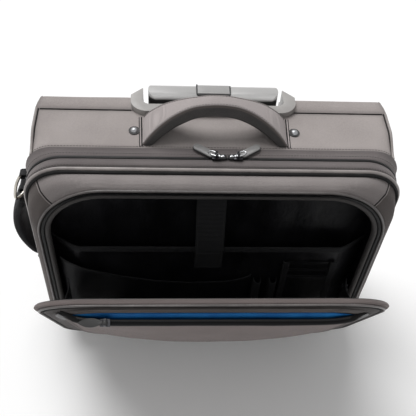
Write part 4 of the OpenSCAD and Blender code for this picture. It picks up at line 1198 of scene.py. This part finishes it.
def flap_trim():
    """Piping along the groove round the flap"""
    piece = Piece("flap_trim", welt_vinyl)
    piece.tube(flap_section(0.5, 1.3), 1.3, (0, 1, 0), True)
    return piece.make("flap", "piping", "flap_piping", tilt=FLAP_TILT)


def pocket_lining():
    """Bright lining inside the flap's pocket, standing forward behind its mouth"""
    cloth = panel(159, 113, FLAP_TOP - 8, 40, 50, FLAP_HINGE_Y - FLAP_FACE - 1.1, 50, 36)
    x, z = cloth.points[..., 0], cloth.points[..., 2]
    belly = np.clip((z - 250) / 45, 0, 1) * np.clip((FLAP_TOP - 9 - z) / 14, 0, 1) * np.clip((150 - abs(x)) / 30, 0, 1)
    cloth = cloth.moved(6.0 * belly + (1 - cloth.edge(6)) * ripple(cloth.points * (1, 1, 0.5), 24, 47) * 0.4)
    piece = Piece("pocket_lining_cloth", blue_satin, blue_satin)
    piece.shell(cloth, 0.8)
    return piece.make("flap", "blue_lining", "pocket_lining")


POCKET = (162.0, 103.0, MOUTH_Z, 14.0, 56.0)
POCKET_BASE, POCKET_DEEP, MOUTH_HALF, MOUTH_FROM, MOUTH_RUN = 15.6, 18.4, 160, 258, 60
POCKET_RISE = ((0.0, 0.0), (0.05, 0.26), (0.12, 0.5), (0.2, 0.78), (0.3, 0.93), (0.45, 1.0), (0.68, 1.0), (0.8, 0.9),
               (0.9, 0.74), (1.0, 0.53))


def mouth_lift(x):
    """How far the pocket's mouth stands open, by distance from the middle"""
    return 1 - np.clip(abs(x) / MOUTH_HALF, 0, 1) ** 10


def pocket_depth(x, z):
    """Distance of the filled pocket's face from the flap's inner face"""
    v = (z - POCKET[1]) / (POCKET[2] - POCKET[1])
    rise = np.interp(v, [p[0] for p in POCKET_RISE], [p[1] for p in POCKET_RISE])
    w = smooth(np.clip((z - MOUTH_FROM) / MOUTH_RUN, 0, 1))
    belly = 1 - np.clip(abs(x) / POCKET[0], 0, 1) ** 2.4
    return POCKET_BASE + POCKET_DEEP * rise * (belly * (1 - w) + mouth_lift(x) * w)


def pocket_panel():
    """Filled pocket on the flap, creased where it hangs from its mouth"""
    flat = panel(*POCKET, 0.0, 72, 46).points
    cloth = Cloth(np.stack([flat[..., 0], FLAP_HINGE_Y - pocket_depth(flat[..., 0], flat[..., 2]), flat[..., 2]], 2))
    held = cloth.edge(9) > 0.5
    sag = ripple(cloth.points * (1.0, 1.0, 0.55), 34, 51)
    hang = np.exp(-((MOUTH_Z - cloth.points[..., 2]) / 60) ** 2) * ripple(cloth.points * (1.0, 0.0, 0.12), 16, 53)
    cloth = puff(cloth.moved((1 - cloth.edge(9)) * (sag * 0.9 + hang * 0.7 - 1.2)), held, 2.4)
    # pocket in the flap's cloth, darkened as painted shade
    piece = Piece("flap_pocket", flap_shade_cloth, black_satin, dark_thread)
    piece.shell(cloth, 2.2)
    border = np.concatenate([cloth.points[:, 1][::-1], cloth.points[1, 1:-1], cloth.points[:, -2]])
    out = np.concatenate([cloth.normals()[:, 1][::-1], cloth.normals()[1, 1:-1], cloth.normals()[:, -2]])
    piece.beads(border, out, STITCH_PITCH, STITCH, 2)
    made = piece.make("flap", "grey_fabric", "pocket_panel")
    return made


def pocket_zip():
    """Zip along the pocket's mouth: tape folded over the panel's edge, teeth inside, and black gores at its ends as
    painted shade
    """
    piece = Piece("pocket_zip", black_tape, black_tape, black_teeth, black_satin)
    across = np.linspace(-MOUTH_HALF, MOUTH_HALF, 80)
    edge = 15.4 + 9.8 * mouth_lift(across) - 3.5 * np.clip((abs(across) - 148) / 12, 0, 1)
    rows = []
    for lift, drop in ((1.3, 4.4), (1.3, 0.4), (0.7, -1.1), (-0.6, -1.6), (-2.8, -1.5), (-4.8, -1.3)):
        rows.append(np.column_stack([across, FLAP_HINGE_Y - edge - lift, np.full(len(across), MOUTH_Z - drop)]))
    cloth = Cloth(rows)
    piece.shell(cloth.rippled(30, 57, 0.25), 0.8)
    for share, shift in ((0.93, 0.0), (0.84, TEETH_STEP)):
        path, normals = cloth.line(share)
        piece.beads(path[4:-4], normals[4:-4], TEETH_PITCH, (1.3, 1.6, 0.8), 2, TEETH_TAPER, start=shift)
    foot, tall = 262, 55.5
    # black sheets at both ends of the mouth as painted shade
    for s in (-1, 1):
        shadow_gore = []
        for z in np.linspace(foot, foot + tall, 12)[::s]:
            share = (z - foot) / tall
            near, far = 162.0 - 13 * share ** 3, 164.0 + 13 * share - 15 * share ** 3
            shadow_gore.append([(s * (near + (far - near) * u), FLAP_HINGE_Y - (15.2 + 5 * share) * (1 - u) - 14.2 * u, z)
                         for u in np.linspace(0, 1, 6)])
        piece.shell(Cloth(shadow_gore), 0.8, 3)
    return piece.make("flap", "zip_tape", "pocket_zip_tape")


def hinge_strip():
    """Cloth along the foot at the flap's hinge"""
    across = np.linspace(-132, 132, 61)
    fold = ((-22.6, 35.2), (-24.6, 34.2), (-26.8, 34.2), (-29.0, 35.2), (-31.0, 36.8), (-33.0, 38.0))
    cloth = Cloth([[(x, y, z) for x in across] for y, z in fold][::-1])
    piece = Piece("hinge_strip", band_cloth, black_satin)
    piece.shell(cloth.rippled(18, 61, 0.3), 0.9)
    ends = [tuple((np.array(p) + SHIFT) * MM) for p in ((0, -24.8, 34.2), (0, -30.0, 36.5))]
    return piece.make(("front_section", "flap", *ends), "band_fabric")


def flap_sides():
    """Slack folding sides that stop the flap at its open place"""
    piece = Piece("flap_sides", black_satin, black_satin, black_thread)
    zip_edge, widest, wave, sag = flap_inset(FLAP_ZIP_IN), 182.7, 2.6, 5.0
    low, far = (np.array([FLAP_HINGE_Y - reach * math.sin(FLAP_OPEN) - 1.8, FLAP_HINGE_Z + reach * math.cos(FLAP_OPEN)])
                for reach in (25.2, 130.0))
    foot, top = (np.array([FLAP_HINGE_Y + 1.5, z]) for z in (63.0, 164.0))
    for s in (-1, 1):
        rows = []
        for v in np.linspace(0, 1, 30):
            near = foot * (1 - v) + top * v
            out = low * (1 - v) + far * v
            wide = min(widest, half_width(near[1], *zip_edge) - 3)
            row = []
            for u in np.linspace(0, 1, 20)[::s]:
                y, z = near * (1 - u) + out * u
                slack = math.sin(math.pi * u) * v
                fold = wave * slack * math.sin(2 * math.pi * (u * 1.15 + 0.1 * v))
                row.append((s * (wide - fold), y, z - sag * slack * v ** 2))
            rows.append(row)
        cloth = Cloth(rows)
        piece.shell(cloth.moved(ripple(cloth.points, 20, 67 + s) * 0.5 * (1 - cloth.edge(8))), 0.9)
        path, normals = cloth.line(0.96)
        piece.beads(path[1:-1], normals[1:-1], FINE_PITCH, FINE_STITCH, 2)
    made = piece.make("front_section", "black_lining", "side_gussets")
    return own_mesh(made)


# Side handle and its rings

SIDE_Y, SIDE_MID_Z, SIDE_R, SIDE_REACH, SIDE_T, SIDE_HW = 54.0, 195.5, 102.0, 257.5, 14.0, 22.5
RING, RING_HALF, RING_SIDE, RING_YAW, RING_LEAN, RING_WIRE = (-234.5, 44.5, 268.5), 21.0, 14.5, 28.0, 12.0, 1.9
LOW_RING, LOW_RING_RISE, LOW_RING_TILT = (-222.5, 104.0), 19.0, math.radians(30)


def ring_point(turn):
    """Point on the upper ring, a squarish oval that leans out and turns its face to the front"""
    lean, yaw = math.radians(RING_LEAN), math.radians(RING_YAW)
    up = RING_HALF * squared(math.cos(turn), 0.75)
    out = RING_SIDE * squared(math.sin(turn), 0.75)
    return (RING[0] + up * math.sin(lean) - out * math.sin(yaw), RING[1] - out * math.cos(yaw),
            RING[2] + up * math.cos(lean))


RING_TOP, RING_FOOT = ((p[0], p[2]) for p in (ring_point(0), ring_point(math.pi)))
LOW_RING_TOP = (LOW_RING[0] - LOW_RING_RISE * math.sin(LOW_RING_TILT),
                LOW_RING[1] + LOW_RING_RISE * math.cos(LOW_RING_TILT))


def strip(piece, profile, hw, thick, tint, middle):
    """Flat webbing along a profile (x, z), level across its width"""
    cloth = Cloth([[(x, middle + u * hw, z) for u in np.linspace(-1, 1, 9)] for x, z in profile])
    piece.shell(cloth, thick, tint, tint)


def side_handle():
    """Padded grab handle on the left, hung from its rings by webbing"""
    count = 32
    rows = []
    low, high = -43.0, 30.4
    for share in np.linspace(0, 1, 49):
        angle = math.radians(low + (high - low) * share)
        taper = max(0.0, (0.16 - share) / 0.16, (share - 0.93) / 0.07 * 0.8)
        hw = SIDE_HW - 5.0 * taper ** 2
        half = (SIDE_T / 2 - 0.5) * math.sqrt(1 - 0.75 * taper ** 2)
        row = []
        for turn in full_turn(count):
            r = SIDE_R - SIDE_T / 2 + half * squared(math.sin(turn), 0.75)
            row.append((SIDE_R - SIDE_REACH - r * math.cos(angle), SIDE_Y + hw * squared(math.cos(turn), 0.6),
                        SIDE_MID_Z + r * math.sin(angle)))
        rows.append(row)
    cloth = Cloth(rows, True)
    held = np.zeros(cloth.points.shape[:2], bool)
    held[:3] = held[-3:] = True
    seams = [3, count // 2 - 3]
    held[:, seams] = True
    cloth = puff(cloth.moved(ripple(cloth.points, 18, 71) * 0.35 - 0.4), held, 1.4)
    piece = Piece("side_handle_pad", black_web_up, black_web_up, black_thread)
    piece.loft(cloth)
    for c in seams:
        piece.beads(cloth.points[4:-4, c], cloth.normals()[4:-4, c], STITCH_PITCH, (2.3, 0.6, 0.4), 2)
    for (fx, fz), s, row, hw, middle in ((RING_FOOT, 1, -3, 9.0, 60.0), (LOW_RING_TOP, -1, 2, 13.0, SIDE_Y)):
        wrap = [(fx + 3.2 * math.cos(a), fz + s * 3.2 * math.sin(a)) for a in np.radians(np.linspace(200, -20, 14))]
        ex, ez = cloth.points[row].mean(0)[[0, 2]]
        path = np.concatenate([line((ex - 1.6, ez), wrap[0], 5), wrap, line(wrap[-1], (ex + 1.6, ez), 5)])
        strip(piece, path[::s], hw, 1.1, 1, middle)
    pad = piece.make("case", "black_webbing", "side_handle")
    return pad


def ring_tabs():
    """Webbing loops sewn to the side that hold the rings"""
    piece = Piece("ring_webbing", black_web_up, black_web_up, black_thread)
    grip = RING_WIRE + 1.3
    wall, under, over = -217.2, -216.4, -218.2
    for (x, z), s, hw, middle, rise in ((RING_TOP, 1, 5.0, 42.0, 3.0), (LOW_RING, -1, 10.8, SIDE_Y, 11.0)):
        wrap = [(x - grip * math.cos(a), z - s * grip * math.sin(a)) for a in np.radians(np.linspace(-75, 200, 18))]
        path = np.concatenate([line((wall, z + s * (rise + 1.6)), wrap[0], 6), wrap,
                               line(wrap[-1], (wall, z - s * 0.5), 4),
                               line((wall, z - s * 0.5), (under, z + s * rise), 4)])
        strip(piece, path[::-s], hw, 1.0, 0, middle)
        for lift in (0.6, -0.6):
            high = z + s * (rise + lift)
            seam = line((over, middle - hw + 1.5, high), (over, middle + hw - 1.5, high), 8)
            piece.beads(seam, (-1, 0, 0), 2.8, (2.0, 0.6, 0.5), 2)
    return piece.make("case", "black_webbing", "ring_tabs")


def side_rings():
    """Wire rings that the side handle hangs from"""
    piece = Piece("ring_wires", ring_metal)
    piece.tube([ring_point(a) for a in full_turn(64)], RING_WIRE, (1, 0, 0), True)
    lean = (-math.sin(LOW_RING_TILT), math.cos(LOW_RING_TILT))
    wire = []
    for a in full_turn(64):
        up = LOW_RING_RISE * max(0.0, math.sin(a)) ** 0.8
        wire.append((LOW_RING[0] + up * lean[0], SIDE_Y - 19.0 * squared(math.cos(a), 0.8),
                     LOW_RING[1] + up * lean[1]))
    piece.tube(wire, RING_WIRE, (1, 0, 0), True)
    return piece.make("case", "silver_metal", "side_rings")


# Hardware

def paint(material, *nodes):
    """Finish on a carried-over node"""
    for name in nodes:
        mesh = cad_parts[name].data
        mesh.materials.clear()
        mesh.materials.append(material)


def eased(name, node, body, slot, width, *finishes, tint=None):
    """Moulded copy of a node with its edges rounded over"""
    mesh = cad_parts[node].data.copy()
    mesh.name = name
    bm = bmesh.new()
    bm.from_mesh(mesh)
    bmesh.ops.remove_doubles(bm, verts=bm.verts, dist=WELD)
    bmesh.ops.dissolve_limit(bm, angle_limit=math.radians(1), verts=bm.verts, edges=bm.edges)
    bm.normal_update()
    for face in bm.faces:
        face.material_index = tint(face) if tint else 0
        face.smooth = True
    bm.to_mesh(mesh)
    bm.free()
    mesh.materials.clear()
    for material in finishes:
        mesh.materials.append(material)
    piece = bpy.data.objects.new(name, mesh)
    bpy.context.scene.collection.objects.link(piece)
    rounded = piece.modifiers.new("rounded", "BEVEL")
    rounded.width = width * MM
    rounded.segments = 3
    rounded.angle_limit = BEVEL_ANGLE
    rounded.harden_normals = True
    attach(piece, body)
    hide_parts(node)
    return piece


def button_gap_shade():
    """Black tube round the lock button in the grip, as painted shade in the gap round it"""
    piece = Piece("button_gap_shade", edge_vinyl)
    half = ((-20.4, 130.0, 359.3), (-20.4, 117.0, 359.3), (-20.2, 113.4, 358.5), (-19.0, 112.3, 357.9))
    corners = half + tuple((-x, y, z) for x, y, z in reversed(half))
    path = np.concatenate([line(a, b, 6) for a, b in zip(corners[:-1], corners[1:])])
    piece.tube(path, 1.0, (0, 0, 1), sides=8)
    return piece.make("trolley_upper", "black_plastic")


WIRE_FRAME = ((-1.9, 15.0, 352.4), (-1.9, 19.0, 352.4), (3.6, 23.6, 351.4), (7.4, 24.4, 351.2), (9.6, 21.0, 351.2),
              (5.4, 17.8, 351.6), (1.2, 15.2, 352.4))


def zip_bars():
    """Rounded bars, wire frames and bright studs of the two main sliders"""
    core = ((0.9, 347.7), (0.0, 348.3), (0.0, 349.6), (0.4, 350.0))
    face = ((0.5, 349.8), (0.5, 350.5), (0.9, 351.0), (1.5, 351.2))
    for side, at, s in (("left", 0.0, -1), ("right", 25.0, 1)):
        start, end = np.array((at + s * 6.4, 21.4)), np.array((at + s * 21.6, 31.4))
        ahead = (end - start) / np.linalg.norm(end - start)
        aside = np.array((-ahead[1], ahead[0]))
        bar = Piece(f"{side}_zip_bar", black_plastic, pull_vinyl, bright_metal)

        def stadium(inset, z):
            half = 5.2 - inset
            spots = [(end if math.cos(a) > 0 else start) + half * (ahead * math.cos(a) + aside * math.sin(a))
                     for a in full_turn(40)]
            return [(p[0], p[1], z + 0.04 * (at + s * 22.0 - p[0]) * -s) for p in spots]

        bar.loft(Cloth([stadium(*layer) for layer in core], True), lambda c: 0)
        bar.loft(Cloth([stadium(*layer) for layer in face], True), lambda c: 1)
        bar.tube([(at + s * x, y, z) for x, y, z in WIRE_FRAME], 0.75, (0, 0, 1), True, tint=2, sides=8)
        bar.make(f"{side}_zip_pull", "pull_metal", f"{side}_pull")
        nose = Piece(f"{side}_zip_nose", black_plastic, bright_metal)
        turn = full_turn(24)
        layers = [[(at - s * (7.2 + w * 4.4 * squared(math.cos(a), 0.6)), 17.0 + w * 3.4 * squared(math.sin(a), 0.6), z)
                   for a in turn]
                  for w, z in ((0.85, 346.7), (1.0, 347.4), (1.0, 349.4), (0.8, 350.4), (0.5, 350.8))]
        nose.loft(Cloth(layers, True), lambda c: 0)
        for x, r in ((3.4, 1.7), (7.4, 1.5)):
            dome = [[(at - s * (x + r * w * math.cos(a)), 16.6 + r * w * math.sin(a), z) for a in turn]
                    for w, z in ((1.0, 349.6), (1.0, 351.0), (0.75, 351.8), (0.3, 352.2))]
            nose.loft(Cloth(dome, True), lambda c: 1)
        nose.make(f"{side}_zip_slider", "slider_metal")


BRIGHT_FACE = 2.2e-5


def hardware():
    """Trolley, wheels, feet, rivets, bottom and sliders"""
    eased("trolley_bezel_moulding", "trolley_bezel", "case", "light_plastic", 1.6, bezel_plastic)
    eased("trolley_cover_moulding", "trolley_cover", "case", "dark_plastic", 1.8, cover_plastic)
    for side in ("left", "right"):
        eased(f"{side}_wheel_house", f"{side}_wheel_housing", "case", "black_plastic", 1.6, black_plastic)
    eased("front_foot_pads", "front_feet", "case", "black_plastic", 2.0, black_plastic)
    eased("grip_lower_shell", "grip_lower", "trolley_upper", "light_plastic", 0.7, grip_painted_light)
    eased("grip_upper_shell", "grip_upper", "trolley_upper", "light_plastic", 0.7, grip_painted_light)
    eased("lock_button_cap", "grip_button", "lock_button", "light_plastic", 1.2, button_plastic)
    for side in ("left", "right"):
        eased(f"{side}_hub_moulding", f"{side}_hub", f"{side}_wheel", "hub_plastic", 0.7, hub_plastic)
    for side in ("left", "right"):
        eased(f"{side}_zip_block", f"{side}_slider", f"{side}_zip_slider", "slider_metal", 0.6,
              slider_metal, bright_metal, tint=lambda face: int(face.calc_area() < BRIGHT_FACE))
    for kind in ("flap", "pocket"):
        eased(f"{kind}_zip_block", f"{kind}_slider", f"{kind}_zip_slider", "slider_metal", 0.6, slider_metal)
        eased(f"{kind}_zip_leaf", f"{kind}_pull", f"{kind}_zip_pull", "pull_metal", 0.5, edge_vinyl)
    paint(tube_metal, "outer_tubes", "mid_tubes", "inner_tubes")
    paint(black_plastic, "mid_collars", "tube_foot", "handle_anchor_plate", "rivet_washers")
    paint(axle_steel, "trolley_screws", "wheel_axles", "lock_rods")
    paint(tyre_rubber, "left_tyre", "right_tyre")
    paint(rivet_metal, "handle_rivets")
    paint(cover_plastic, "bottom_panel")


CAMERA_AT, CAMERA_PITCH, CAMERA_AZIMUTH, CAMERA_ROLL = (-55.4, -507.4, 887.7), 50.1, -5.5, 4.7
SENSOR, FOCAL_PIXELS, FRAME_PIXELS = 36, 660, 416


def camera():
    """View from above the front, a little to the left"""
    pitch, azimuth, roll = (math.radians(a) for a in (CAMERA_PITCH, CAMERA_AZIMUTH, CAMERA_ROLL))
    right = np.array((math.cos(azimuth), math.sin(azimuth), 0))
    level = np.array((-math.sin(azimuth), math.cos(azimuth), 0))
    ahead = level * math.cos(pitch) - np.array((0, 0, math.sin(pitch)))
    up = level * math.sin(pitch) + np.array((0, 0, math.cos(pitch)))
    side = right * math.cos(roll) + up * math.sin(roll)
    top = up * math.cos(roll) - right * math.sin(roll)
    lens = bpy.data.cameras.new("view")
    lens.lens = SENSOR * FOCAL_PIXELS / FRAME_PIXELS
    lens.clip_start = 0.01
    made = bpy.data.objects.new("view", lens)
    place = (np.array(CAMERA_AT) + SHIFT) * MM
    made.matrix_world = Matrix([[side[i], top[i], -ahead[i], place[i]] for i in range(3)] + [[0, 0, 0, 1]])
    bpy.context.scene.collection.objects.link(made)
    bpy.context.scene.camera = made


SUN_POWER, SUN_SPREAD, SUN_TOWARDS, FILL = 2.3, math.radians(40), (0.3, -0.42, -1.0), 0.36
FLOOR_HALF = 3


def light():
    """Even studio light from above, stronger from the back left"""
    world = bpy.data.worlds.new("studio")
    bpy.context.scene.world = world
    world.use_nodes = True
    tree = world.node_tree
    seen = Shade(tree).backdrop()
    back = tree.nodes["Background"]
    back.inputs["Color"].default_value = (1, 1, 1, 1)
    tree.links.new(seen.ranged(0, 1, FILL, 1.0).socket, back.inputs["Strength"])
    sun = bpy.data.lights.new("key", "SUN")
    sun.energy = SUN_POWER
    sun.angle = SUN_SPREAD
    made = bpy.data.objects.new("key", sun)
    made.rotation_euler = Vector(SUN_TOWARDS).to_track_quat("-Z", "Y").to_euler()
    bpy.context.scene.collection.objects.link(made)


def floor():
    """Pale floor that keeps the case's shadow"""
    mesh = bpy.data.meshes.new("floor")
    edge = np.linspace(-FLOOR_HALF, FLOOR_HALF, 17)
    mesh.from_pydata([(x, y, 0.0) for y in edge for x in edge], [], grid(len(edge), len(edge)))

    def paint_floor(start):
        tone = start.speckle(3, 2.0)
        seen = start.backdrop()
        return {"Base Color": tone.mixed((0.95, 0.95, 0.95, 1), (0.97, 0.97, 0.97, 1)),
                "Emission Color": seen.mixed((0, 0, 0, 1), (0.08, 0.08, 0.08, 1))}

    even = {"Roughness": 0.9, "Specular IOR Level": 0.0, "Emission Strength": 1.0}
    mesh.materials.append(finish("pale_floor", paint_floor, even))
    made = bpy.data.objects.new("floor", mesh)
    bpy.context.scene.collection.objects.link(made)


camera()
light()
floor()
top_cover()
back_cover()
side_cover("left_side_cover", -1, "left_side_panel")
side_cover("right_side_cover", 1, "right_side_panel")
rear_band()
side_trim()
carry_handle()
handle_slits()
zip_half("rear_zip_tape", "case", ((17.1, 0.9), (17.8, 1.0), (18.6, 0.9)), 17.8, 0.0)
zip_half("front_zip_tape", "front_section", ((15.4, 0.9), (16.2, 1.0), (16.9, 0.9)), 16.2, TEETH_STEP)
front_band()
rim_trim()
front_gusset()
opening_zip()
divider()
sleeve()
organizer_pocket()
loops()
slip_pockets()
sleeve_strap()
flap_zip()
flap_edge()
flap_cover()
flap_trim()
pocket_lining()
pocket_panel()
pocket_zip()
hinge_strip()
flap_sides()
side_handle()
ring_tabs()
side_rings()
hardware()
button_gap_shade()
zip_bars()

bpy.context.scene.view_settings.view_transform = "Standard"
